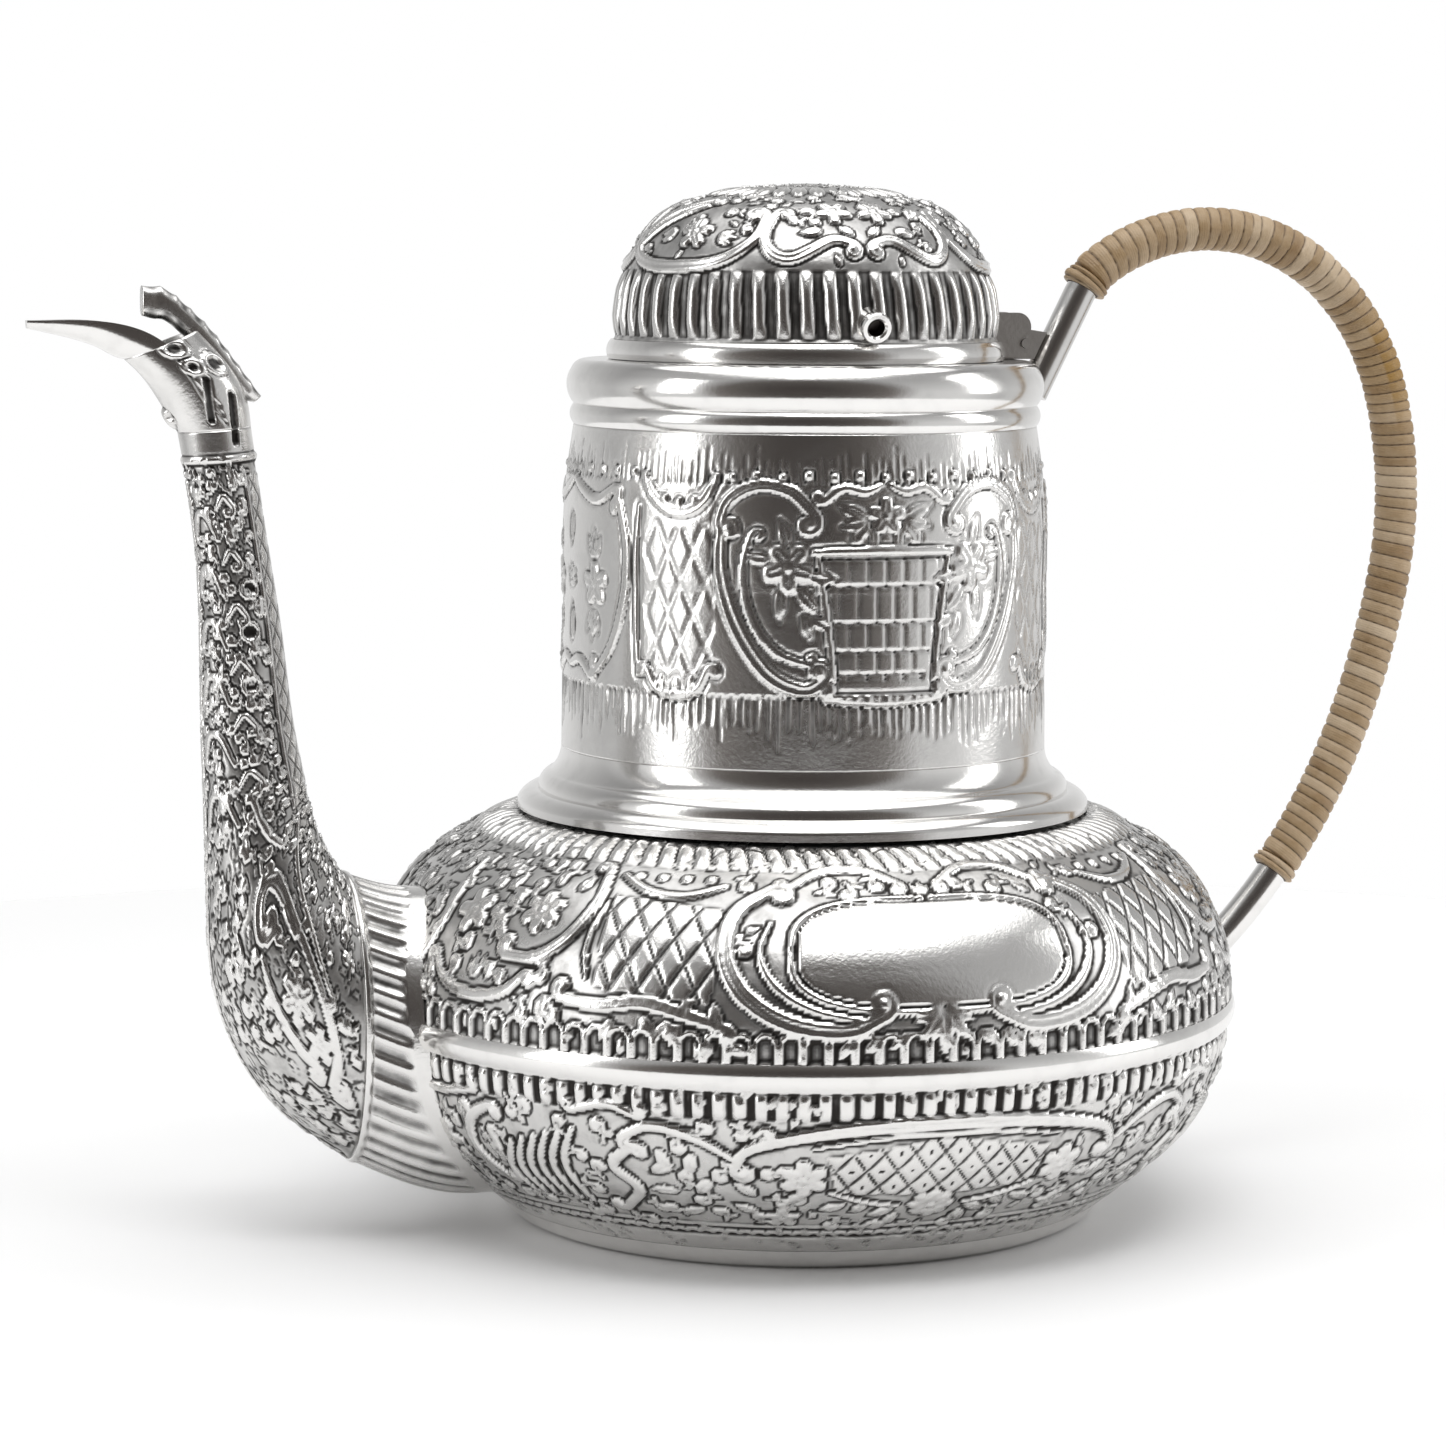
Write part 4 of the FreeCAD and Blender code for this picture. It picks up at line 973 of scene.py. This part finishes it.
def chase_dome():
    line, c = half_relief(DOME, 0.34, 0.36, -0.4)
    c.mirrors = [0.0]
    for k in range(2):
        c.line([(-67 + k, 186.0), (-80, 183.0), (-88, 179.0)], 1.0, 0.4)
    c.line([(-66, 187.0), (-84, 184.6), (-89, 178.6), (-78, 175.6), (-60, 175.2), (-46, 176.4),
            (-36, 180.2), (-34.0, 184.0)], 1.5, 0.6, (0.45, 0.5), first=(-1, 1.5, 0.7),
           last=(1, 2.2, 1.1), channel=0.32)
    c.line([(-30.5, 184.6), (-33.0, 181.0), (-30.5, 177.8), (-24.0, 176.6), (-17.0, 178.4),
            (-10.0, 180.2), (-3.5, 179.4)], 1.4, 0.5, (0.45, 0.5), first=(-1, 1.7, 0.9),
           last=(-1, 1.6, 0.9), channel=0.3)
    c.flower(-8.5, 185.0, 3.4, 5, 54)
    c.leaf(-14.0, 181.8, 4.4, 1.1, 200, 0.32, bend=-20)
    c.leaf(-15.0, 185.0, 4.4, 1.1, 170, 0.32)
    c.leaf(-3.0, 181.0, 3.6, 1.0, 140, 0.3)
    c.flower(-60.0, 181.2, 3.5, 5)
    c.spray(-70.0, 181.0, 4.6, 180, 3, 36)
    c.spray(-50.0, 180.4, 4.4, 0, 3, 36)
    c.leaf(-24.0, 184.0, 4.6, 1.1, 120, 0.32)
    for a in np.arange(-84, 0, 12.0):
        c.leaf(a, 188.0, 7.5, 1.5, 90, 0.3)
    c.mirrors = []
    c.flutes(162.4, 174.4, 25, 0.45, blunt=0.85, lean=0.16, duty=0.58, notch=0.35)
    c.tendrils(500, 3.4, 0.5, 0.18, 175.2, 189.0)
    c.thicket(300, 2.6, 0.12)
    # nothing stands above the lid's top, and the crown ends in a low boss
    c.raised = np.minimum(c.raised, np.maximum(190.15 - line[:, 1], 0)[:, None])
    boss = np.sqrt(np.clip(1 - (line[:, 0] / 4.0) ** 2, 0, 1))
    c.base += 0.38 * boss[:, None]
    return line, c


for chase, name, node, body in (
    (chase_neck, "neck_chased", "neck_drum", "pot"),
    (chase_shoulder, "shoulder_chased", "shoulder_shell", "pot"),
    (chase_bowl, "bowl_chased", "lower_bowl", "pot"),
    (chase_dome, "dome_chased", "lid_dome", "lid"),
):
    profile, relief = chase()
    shell = chased_shell(name, profile, relief, GAUGE, chased, pole=node == "lid_dome")
    place_on(shell, body, "chased_silver", node)


# ---------------------------------------------------------------- plain turned pieces

for name, body, node, outline in (
    ("base_pan_turned", "pot", "base_pan", [
        (0.2, 0.0), (52.6, 0.0), (55.2, 1.4, 57.0, 3.8), (55.8, 3.8), (54.3, 2.2, 52.2, 1.1), (0.2, 1.1)]),
    ("step_moulding_turned", "pot", "neck_step_moulding", [
        (53.0, 75.55), (53.0, 76.9), (51.6, 78.5, 49.2, 79.1), (48.7, 80.9, 46.9, 82.2),
        (45.6, 84.0, 44.9, 86.8), (43.8, 86.8), (44.4, 83.6, 46.1, 81.2), (47.5, 79.8, 48.2, 78.0),
        (50.3, 77.5, 51.4, 76.6)]),
    ("mouth_collar_turned", "pot", "mouth_collar", [
        (42.7, 146.2), (43.4, 148.1, 42.7, 149.9), (44.0, 153.4, 43.1, 156.4), (42.1, 157.6, 40.2, 158.0),
        (34.4, 158.0), (34.4, 151.6), (35.5, 151.6), (35.5, 156.9), (40.2, 156.9),
        (42.0, 153.4, 41.6, 149.9), (41.6, 146.2)]),
    ("lid_rim_turned", "lid", "lid_rim", [
        (33.2, 158.15), (36.4, 158.15), (36.7, 159.4, 35.9, 161.6), (33.2, 161.6)]),
):
    place_on(turned_piece(name, outline, polished), body, "polished_silver", node)


# ---------------------------------------------------------------- the spout

SOCKET = [((-56.0, 63.0), (-56.0, 6.4), 21.5), ((-69.0, 63.0), (-69.0, 6.6), 21.3),
          ((-78.5, 63.5), (-78.5, 9.6), 20.0), ((-87.5, 66.3), (-87.5, 14.0), 18.0)]
DUCT = [((-87.5, 66.3), (-87.5, 14.0), 18.0), ((-89.4, 68.8), (-98.3, 22.5), 17.2),
        ((-91.1, 71.8), (-106.6, 33.7), 15.6), ((-92.4, 75.0), (-111.0, 46.0), 13.4),
        ((-93.5, 79.0), (-112.1, 60.0), 11.2), ((-94.5, 84.0), (-112.3, 75.0), 9.7),
        ((-96.3, 93.1), (-112.7, 90.0), 8.2), ((-98.4, 110.0), (-112.9, 109.0), 7.2),
        ((-100.9, 126.5), (-113.6, 125.5), 6.3), ((-103.7, 146.5), (-116.6, 145.5), 6.2)]
HEAD = [((-103.7, 146.5), (-116.6, 145.5), 6.2), ((-104.6, 152.2), (-119.4, 150.2), 6.4),
        ((-108.0, 158.2), (-122.6, 155.0), 6.2), ((-112.8, 163.7), (-126.0, 158.4), 5.2)]
SPOUT_WALL = 1.0


def tube_shell(name, tube, relief, side):
    """One half of a chased tube, or the whole of it."""
    h, shade = relief.result(0.5)
    keep = np.unique(np.linspace(0, len(h) - 1, max(4, len(h) // 6)).astype(int))
    outer = tube.points(relief.angle, h, side)
    inner = tube.points(relief.angle, np.full(h.shape, -SPOUT_WALL), side)[keep]
    return sheet(name, outer, inner, chased, {"recess": (shade, 0.4)}, side > 0, relief.wraps, kept=keep)


def chase_duct(tube):
    """Angles run from 0 on the handle side over the flank to 180 at the front."""
    c = Relief(0.0, 180.0, 150, tube.along, tube.cz, tube.radius, -0.2, False)
    c.moat, c.stain = (0.42, 0.14), 0.62
    # up the neck: a small trellis behind, dense curled foliage on the flank and at the front
    c.lattice(c.region([(4, 78), (50, 78), (52, 138), (4, 138)]), 28, 3.4, 5.2, level=0.0, depth=0.24,
              half=0.3)
    c.line([(55, 76), (57, 100), (60, 138)], 0.5, 0.26, (0.7, 0.6))
    for z in (101.4, 110.8, 118.2):
        angle, along = tube.locate(-105.4, z)
        c.stamp(angle, along, 1.15, 0.45, cut=True)
        c.ring(angle, along, 1.6, 0.42, 0.16, 16)
    for k in range(6):
        z = 80 + 9.6 * k
        c.line([(122, z - 1), (138, z + 3.4), (158, z + 3.8), (166, z - 0.4)], 0.72, 0.32, (0.6, 0.4),
               last=(-1, 1.4, 0.9), channel=0.1)
        c.line([(118, z + 4.4), (104, z + 6.6), (90, z + 4.6)], 0.6, 0.28, (0.6, 0.4), last=(1, 1.3, 0.9))
    c.tendrils(2500, 3.0, 0.42, 0.24, 78, 139, sides=(60, 174), reach=0.24)
    c.thicket(900, 2.2, 0.16)

    # the bulb, set out on its flank: a pear-shaped frame of C scrolls with a spray of flowers in it
    def on_tube(x, z):
        angle, along = tube.locate(x, z)
        return angle, float(np.interp(along, tube.along, tube.cz))

    def draw(points, *sizes, **more):
        c.line([on_tube(x, z) for x, z in points], *sizes, **more)

    draw([(-97.8, 57.0), (-99.2, 63.6), (-103.4, 67.8), (-107.8, 66.2), (-109.4, 61.6)], 1.8, 0.52,
         last=(-1, 2.4, 1.0), channel=0.4)
    draw([(-97.4, 62.5), (-95.3, 54.0), (-95.2, 45.0), (-97.6, 36.0), (-101.6, 30.6)], 1.3, 0.42,
         last=(-1, 1.9, 0.9), channel=0.25)
    draw([(-110.2, 56.6), (-109.9, 48.0), (-107.4, 40.0), (-104.2, 35.4)], 1.2, 0.4, last=(1, 1.7, 0.8),
         channel=0.22)
    draw([(-94.0, 74.0), (-92.4, 66.0), (-91.6, 56.0), (-92.4, 46.0)], 0.9, 0.34, last=(1, 1.3, 0.8))
    draw([(-106.0, 82.0), (-103.6, 76.0), (-99.4, 71.6)], 0.9, 0.34, first=(1, 1.2, 0.8),
         last=(-1, 1.2, 0.8))
    for x, z, size, petals in ((-102.6, 47.6, 3.8, 6), (-101.0, 39.0, 2.8, 5)):
        c.flower(*on_tube(x, z), size, petals, height=0.36)
    c.tendrils(2500, 3.6, 0.5, 0.26, 41.5, 78, sides=(8, 172), reach=0.25)
    c.thicket(1400, 2.6, 0.18)
    c.stamp(np.full(90, 180.0), np.linspace(8, tube.along[-1] - 9, 90), 0.8, 0.34)
    # the plain top with its two slots, below a roll
    top = c.heights > 141.5
    c.base[top] = 0.0
    c.raised[top] = BARE
    c.cut[top] = c.under[top] = 0.0
    c.stamp(np.linspace(0, 180, 70), np.full(70, c.at(141.0)), 0.7, 0.4)
    slot_down(c, tube, [(-107.5, 145.9), (-107.4, 144.2)])
    return c


def slot_down(c, tube, ends):
    """A narrow dark slot between two spots of the flank; its dark is painted shade from the recess layer."""
    for share in np.linspace(0, 1, 24):
        x = ends[0][0] * (1 - share) + ends[1][0] * share
        z = ends[0][1] * (1 - share) + ends[1][1] * share
        angle, along = tube.locate(x, z)
        c.stamp(angle, along, 0.72, 0.75, cut=True)


def chase_head(tube):
    c = Relief(-180.0, 360.0, 180, tube.along, tube.cz, tube.radius, 0.0, True)
    c.stain = 0.3
    c.mirrors = [0.0]
    slot_down(c, tube, [(-112.7, 155.6), (-111.7, 147.4)])
    slot_down(c, tube, [(-108.1, 153.4), (-107.6, 147.3)])
    # small holes with rings round them; their dark is painted shade from the recess layer
    for x, z, size in ((-111.2, 160.0, 1.15), (-118.2, 160.4, 1.0), (-115.0, 157.4, 0.7)):
        angle, along = tube.locate(x, z)
        c.stamp(angle, along, size, 0.7, cut=True)
        c.ring(angle, along, size + 0.75, 0.5, 0.34, 26)
    for shift in (0.0, 1.5, 3.0):
        spots = through([tube.locate(-117.5 + 0.6 * shift, 158.5 - shift),
                         tube.locate(-114.6 + 0.6 * shift, 154.0 - shift),
                         tube.locate(-110.4 + 0.4 * shift, 150.6 - shift)])
        c.stamp(spots[:, 0], spots[:, 1], 0.36, 0.24, cut=True)
    along = tube.along[int(np.argmin(np.abs(tube.cz - 148.6)))]
    c.stamp(180.0, along, 2.2, 1.0)
    c.stamp(-179.9, along, 2.2, 1.0)
    c.stamp(166.0, along + 0.4, 0.8, 0.6, cut=True)
    return c


duct = Tube(DUCT, 0.42)
duct_relief = chase_duct(duct)
for side, hand in ((-1, "left"), (1, "right")):
    half = tube_shell(f"spout_{hand}_chased", duct, duct_relief, side)
    place_on(half, "pot", "chased_silver", f"spout_{hand}_shell")
head = Tube(HEAD, 0.4)
place_on(tube_shell("spout_head_cast", head, chase_head(head), 1), "pot", "chased_silver", "spout_head")

# the fluted socket, each of whose flutes starts where it meets the body
SOCKET_FLUTES = 40
BODY_LINE = trace(BOWL + SHOULDER)


def socket_shell():
    tube = Tube(SOCKET, 0.3)
    columns = 340
    angle = np.linspace(0, 360, columns, endpoint=False)
    zero = np.zeros((len(tube.along), columns))
    surface = tube.points(angle, zero)
    order = np.argsort(BODY_LINE[:, 1])
    body_r = np.interp(surface[..., 2], BODY_LINE[order, 1], BODY_LINE[order, 0])
    clear = np.hypot(surface[..., 0], surface[..., 1]) > body_r - 0.5
    first = clear.argmax(0)
    rows = 60
    share = np.linspace(0, 1, rows)[:, None]
    at = first[None, :] + share * (len(tube.along) - 1 - first)[None, :]
    low = np.floor(at).astype(int).clip(0, len(tube.along) - 2)
    part = (at - low)[..., None]
    column = np.arange(columns)[None, :]
    pick = lambda grid: grid[low, column] * (1 - part) + grid[low + 1, column] * part
    phase = (angle / 360 * SOCKET_FLUTES) % 1
    trough = np.clip(1 - (np.abs(phase - 0.5) / 0.36) ** 2, 0, 1)
    span = (share * (len(tube.along) - first)[None, :] * 0.3)
    rest = ((1 - share) * (len(tube.along) - first)[None, :] * 0.3)
    ends = np.sqrt(np.clip(np.minimum((span - 3.2) / 1.8, (rest - 1.0) / 1.4), 0, 1))
    roll = 0.35 * np.sqrt(np.clip(1 - ((rest - 0.8) / 0.8) ** 2, 0, 1))
    h = roll - 0.6 * trough[None, :] * ends
    flat = pick(surface)
    outer = flat + (pick(tube.points(angle, zero + 1.0)) - flat) * h[..., None]
    inner = pick(tube.points(angle, zero - SPOUT_WALL))[::12]
    # painted shade: the flute troughs are darkened by their depth
    shade = np.clip(0.55 * -h / 0.6, 0, 1)
    return sheet("spout_socket_fluted", outer, inner, chased, {"recess": (shade, 0.4)}, flip=True)


place_on(socket_shell(), "pot", "chased_silver", "spout_socket")


def crest_piece():
    """A rounded fin that follows the crest's two edges, with a scalloped back."""
    upper = through([(-122.75, 171.2), (-120.6, 171.35), (-118.0, 170.5), (-114.2, 167.3), (-110.4, 163.5),
                     (-106.4, 158.3), (-103.4, 154.2), (-101.8, 151.9)], 20)
    lower = through([(-122.75, 165.9), (-120.8, 165.4), (-118.6, 165.0), (-115.2, 162.2), (-111.0, 158.2),
                     (-107.4, 154.0), (-104.9, 151.4), (-103.2, 150.7)], 20)
    upper, _ = evenly(upper, count=120)
    lower, _ = evenly(lower, count=120)
    s = np.linspace(0, 1, 120)
    scallop = 0.22 * np.abs(np.sin(s * math.pi * 9))
    ring = np.linspace(0, 2 * math.pi, 32, endpoint=False)
    middle, half = (upper + lower) / 2, (upper - lower) / 2
    belly = 1.75 + 0.7 * np.sin(np.pi * np.clip(s * 1.15 - 0.1, 0, 1))
    width = belly * np.clip((1.05 - s) / 0.12, 0.3, 1) ** 0.5
    up, across = rounded(np.sin(ring), 0.75), rounded(np.cos(ring), 0.75)
    reach = 1 - scallop[:, None] * (np.sin(ring)[None, :] > 0.4) * 0.6
    x = middle[:, :1] + half[:, :1] * up[None, :] * reach
    z = middle[:, 1:] + half[:, 1:] * up[None, :] * reach
    y = width[:, None] * across[None, :]
    verts = np.stack([x, y, z], -1).reshape(-1, 3)
    # a little darker all over, with painted shade in the notches of the scalloped back
    shade = np.clip(0.12 + 2.6 * scallop[:, None] * (np.abs(np.sin(ring))[None, :] > 0.3), 0, 1) * 0.8
    caps = [np.arange(32)[::-1], len(verts) - 32 + np.arange(32)]
    return make_object("spout_crest_cast", verts, grid_faces(120, 32, True, 0, False), chased,
                       {"recess": shade.reshape(-1)}, caps)


place_on(crest_piece(), "pot", "chased_silver", "spout_crest")


# ---------------------------------------------------------------- the steam vent

def vent_piece():
    droop = math.radians(17.0)
    along = np.array([0, -math.cos(droop), -math.sin(droop)])
    up = np.array([0, -math.sin(droop), math.cos(droop)])
    across = np.array([1.0, 0, 0])
    root = np.array([0, -32.5, 166.3])
    outline = [(0.05, 0.0), (2.4, 0.0), (2.4, 4.6), (2.75, 5.1), (2.8, 6.0), (2.6, 6.55), (1.9, 6.6),
               (1.5, 6.2), (1.4, 5.6), (1.4, 3.6), (0.05, 3.6)]
    line = trace(outline, 6)
    ring = np.linspace(0, 2 * math.pi, 48, endpoint=False)
    spokes = np.cos(ring)[None, :, None] * across + np.sin(ring)[None, :, None] * up
    verts = root + line[:, 1][:, None, None] * along + line[:, 0][:, None, None] * spokes
    count = len(line)
    # painted shade: the vent's bore is coloured fully dark down to its floor
    inside = np.cumsum(np.where(line[:, 0] < 1.46, 1, 0) * (line[:, 1] > 3)) > 0
    shade = np.repeat(np.where(inside, 1.0, 0.0), 48)
    caps = [np.arange(48), (count - 1) * 48 + np.arange(48)[::-1]]
    verts, quads = verts.reshape(-1, 3), grid_faces(count, 48, True, 0, True)
    return make_object("steam_vent_tube", verts, quads, polished, {"recess": shade}, caps, sharp=40)


place_on(vent_piece(), "lid", "polished_silver", "steam_vent")


# ---------------------------------------------------------------- the handle's cane wrapping

HANDLE_START = (44.9, 151.55)
HANDLE_HEADING = 63.1
HANDLE_RUN = 20.75
HANDLE_ARCS = [(15.5, 28.0), (37.4, 78.45), (43.8, 31.1), (81.3, 25.6), (156.0, 12.2), (116.0, 25.0)]
WRAP_START, WRAP_END, BINDING = 24.6, 199.8, 2.6


def handle_line(step=0.1):
    """Fine points of the handle's centre line and the headings there."""
    x, z, heading = HANDLE_START[0], HANDLE_START[1], math.radians(HANDLE_HEADING)
    spots, headings = [], []
    runs = [(None, HANDLE_RUN)] + HANDLE_ARCS
    for radius, turn in runs:
        length = turn if radius is None else radius * math.radians(turn)
        for _ in range(int(round(length / step))):
            spots.append((x, z))
            headings.append(heading)
            if radius is not None:
                heading -= step / radius
            x += step * math.cos(heading)
            z += step * math.sin(heading)
    return np.array(spots), np.array(headings), np.arange(len(spots)) * step


spots, headings, distance = handle_line()


def wrap_piece(name, start, end, core, outer, pitches, strip=False):
    """Cane strands side by side round the handle, as one closed sleeve."""
    columns = 56
    s = np.arange(start, end + 1e-6, 0.16)
    around = np.linspace(0, 2 * math.pi, columns, endpoint=False)
    edges = np.concatenate([[start - 6.0], start - 6.0 + np.cumsum(pitches)])
    mean = pitches.mean()
    phase = s[:, None] - mean * (around / (2 * math.pi))[None, :]
    k = np.clip(np.searchsorted(edges, phase, side="right") - 1, 0, len(pitches) - 1)
    share = np.clip((phase - edges[k]) / pitches[k], 0, 1)
    dome = np.clip(1 - np.abs(2 * share - 1) ** 3.2, 0, 1) ** 0.55
    tight = rng.uniform(0.86, 1.0, len(pitches))
    radius = core + (outer - core) * dome * tight[k]
    over = np.zeros_like(radius)
    if strip:
        near = np.exp(-((np.angle(np.exp(1j * (around + math.pi * 0.5)))) / 0.34) ** 2)[None, :]
        reach = np.clip((s - start - 2) / 3, 0, 1) * np.clip((start + 62 - s) / 4, 0, 1)
        woven = (k % 3 != 0)
        over = near * reach[:, None] * woven
        radius = np.maximum(radius, core + (outer - core) * np.clip(over * 1.05, 0, 1))
    ends = np.clip(np.minimum(s - start, end - s) / 0.5, 0, 1) ** 0.5
    radius = core - 0.3 + (radius - core + 0.3) * ends[:, None]
    radius = np.minimum(radius, outer)
    cx, cz = np.interp(s, distance, spots[:, 0]), np.interp(s, distance, spots[:, 1])
    heading = np.interp(s, distance, headings)
    nx, nz = -np.sin(heading), np.cos(heading)
    out = radius * np.cos(around)[None, :]
    x = cx[:, None] + nx[:, None] * out
    z = cz[:, None] + nz[:, None] * out
    y = radius * np.sin(around)[None, :]
    hollow = core - 0.32
    inner_s = np.linspace(start, end, max(2, int((end - start) / 3)))
    ix, iz = np.interp(inner_s, distance, spots[:, 0]), np.interp(inner_s, distance, spots[:, 1])
    ih = np.interp(inner_s, distance, headings)
    inner = np.stack([ix[:, None] - np.sin(ih)[:, None] * hollow * np.cos(around)[None, :],
                      np.broadcast_to(hollow * np.sin(around)[None, :], (len(inner_s), columns)),
                      iz[:, None] + np.cos(ih)[:, None] * hollow * np.cos(around)[None, :]], -1)
    strand = rng.uniform(0, 1, len(pitches))[k]
    # painted shade: darker at each strand's edges and in the gaps between turns, less where the woven strip
    # passes over, and fully dark inside
    recess = np.clip(1.25 - dome * 1.7, 0, 1) * (1 - 0.8 * np.clip(over, 0, 1))
    tint = np.exp(-((s - start - 74) / 9) ** 2)[:, None] * (0.35 + 0.65 * (np.cos(around) > -0.2))[None, :]
    tint = np.clip(tint * (0.5 + strand), 0, 1)
    layers = {"strand": (strand, 0), "across": (share, 0), "tint": (tint, 0), "recess": (recess, 1)}
    return sheet(name, np.stack([x, y, z], -1), inner, cane, layers)


sleeve = wrap_piece("cane_wrapping", WRAP_START, WRAP_END, 3.62, 4.15, rng.uniform(1.7, 2.7, 112), True)
place_on(sleeve, "pot", "cane", "rattan_wrap")
for name, start in (("wrap_binding_upper", WRAP_START - BINDING), ("wrap_binding_lower", WRAP_END)):
    turns = wrap_piece(name, start, start + BINDING, 3.6, 4.5, np.full(12, 1.3))
    place_on(turns, "pot", "cane", "wrap_end_bindings")


# ---------------------------------------------------------------- CAD pieces that stay

for node, material in (
    ("equator_band", plain), ("handle_rod", plain), ("lid_bezel", plain), ("pouring_lip", plain),
    ("hinge_block", dark), ("hinge_pin", dark), ("lid_hinge_lugs", dark),
):
    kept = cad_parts[node]
    if not kept.material_slots:
        kept.data.materials.append(material)
    for place in kept.material_slots:
        place.material = material


# ---------------------------------------------------------------- floor, lights and camera

def floor_disc():
    """A pale round table top, which ends well outside the view."""
    radii = np.array([60.0, 120.0, 200.0, 300.0, 420.0])
    around = np.linspace(0, 2 * math.pi, 96, endpoint=False)
    ring = np.stack([radii[:, None] * np.cos(around), radii[:, None] * np.sin(around),
                     np.full((len(radii), 96), -0.15)], -1)
    floor = make_object("floor", ring.reshape(-1, 3), grid_faces(len(radii), 96, True, 0, True),
                        floor_material(), caps=[np.arange(96)])


floor_disc()


def world_light():
    """The silver reflects a grey tent, nearly black in front and darker above; the camera sees white."""
    world = bpy.data.worlds.new("tent")
    bpy.context.scene.world = world
    world.use_nodes = True
    tree = world.node_tree
    back = tree.nodes["Background"]
    way = add(tree, "ShaderNodeTexCoord").outputs["Generated"]
    split = add(tree, "ShaderNodeSeparateXYZ", {"Vector": way})
    azimuth = math.radians(19.0)
    front = maths(tree, "ADD", maths(tree, "MULTIPLY", split.outputs["X"], -math.sin(azimuth)),
                  maths(tree, "MULTIPLY", split.outputs["Y"], -math.cos(azimuth)))
    tent = ramp(tree, maths(tree, "MULTIPLY_ADD", front, 0.5, 0.5), [
        (0.0, (0.85, 0.85, 0.85)), (0.36, (0.50, 0.50, 0.50)), (0.55, (0.74, 0.74, 0.74)),
        (0.78, (0.66, 0.66, 0.66)), (0.87, (0.16, 0.145, 0.135)), (0.98, (0.07, 0.062, 0.058))])
    above = maths(tree, "MULTIPLY_ADD", maths(tree, "MAXIMUM", split.outputs["Z"], 0.0), -0.65, 1.0)
    shade = add(tree, "ShaderNodeVectorMath", {0: tent}, operation="SCALE")
    tree.links.new(above, shade.inputs["Scale"])
    tent = shade.outputs[0]
    seen = add(tree, "ShaderNodeLightPath").outputs["Is Camera Ray"]
    tree.links.new(blend(tree, seen, tent, (1.0, 1.0, 1.0)), back.inputs["Color"])
    back.inputs["Strength"].default_value = 1.0


world_light()


def soft_light(name, place, size, power):
    """A rectangular lamp that faces the pot."""
    data = bpy.data.lights.new(name, "AREA")
    data.shape, data.size, data.size_y = "RECTANGLE", size[0], size[1]
    data.energy = power
    lamp = bpy.data.objects.new(name, data)
    lamp.location = place
    lamp.rotation_mode = "QUATERNION"
    lamp.rotation_quaternion = (Vector((0, 0, 0.08)) - Vector(place)).to_track_quat("-Z", "Y")
    bpy.context.scene.collection.objects.link(lamp)


soft_light("left_panel", (-1.1, -0.15, 0.40), (0.35, 0.9), 2.4)
soft_light("right_panel", (1.05, -0.30, 0.45), (0.35, 0.9), 2.4)
soft_light("top_panel", (0.0, -0.5, 1.1), (0.7, 0.35), 3.0)

sky_data = bpy.data.lights.new("overhead", "SUN")
sky_data.energy, sky_data.angle = 1.75, math.radians(80.0)
sky = bpy.data.objects.new("overhead", sky_data)
bpy.context.scene.collection.objects.link(sky)

AZIMUTH = math.radians(19.0)
DISTANCE, EYE_HEIGHT = 0.7916, 0.1798
PITCH, ROLL = math.radians(6.43), math.radians(0.4)
camera_data = bpy.data.cameras.new("camera")
camera_data.lens, camera_data.sensor_width = 106.6, 36.0
camera_data.shift_x = -0.0553
camera_data.clip_start, camera_data.clip_end = 0.05, 20.0
camera = bpy.data.objects.new("camera", camera_data)
camera.matrix_world = (
    Matrix.Translation((-DISTANCE * math.sin(AZIMUTH), -DISTANCE * math.cos(AZIMUTH), EYE_HEIGHT))
    @ Matrix.Rotation(-AZIMUTH, 4, "Z") @ Matrix.Rotation(math.pi / 2 - PITCH, 4, "X")
    @ Matrix.Rotation(ROLL, 4, "Z"))
bpy.context.scene.collection.objects.link(camera)
bpy.context.scene.camera = camera
bpy.context.scene.view_settings.view_transform = "Standard"
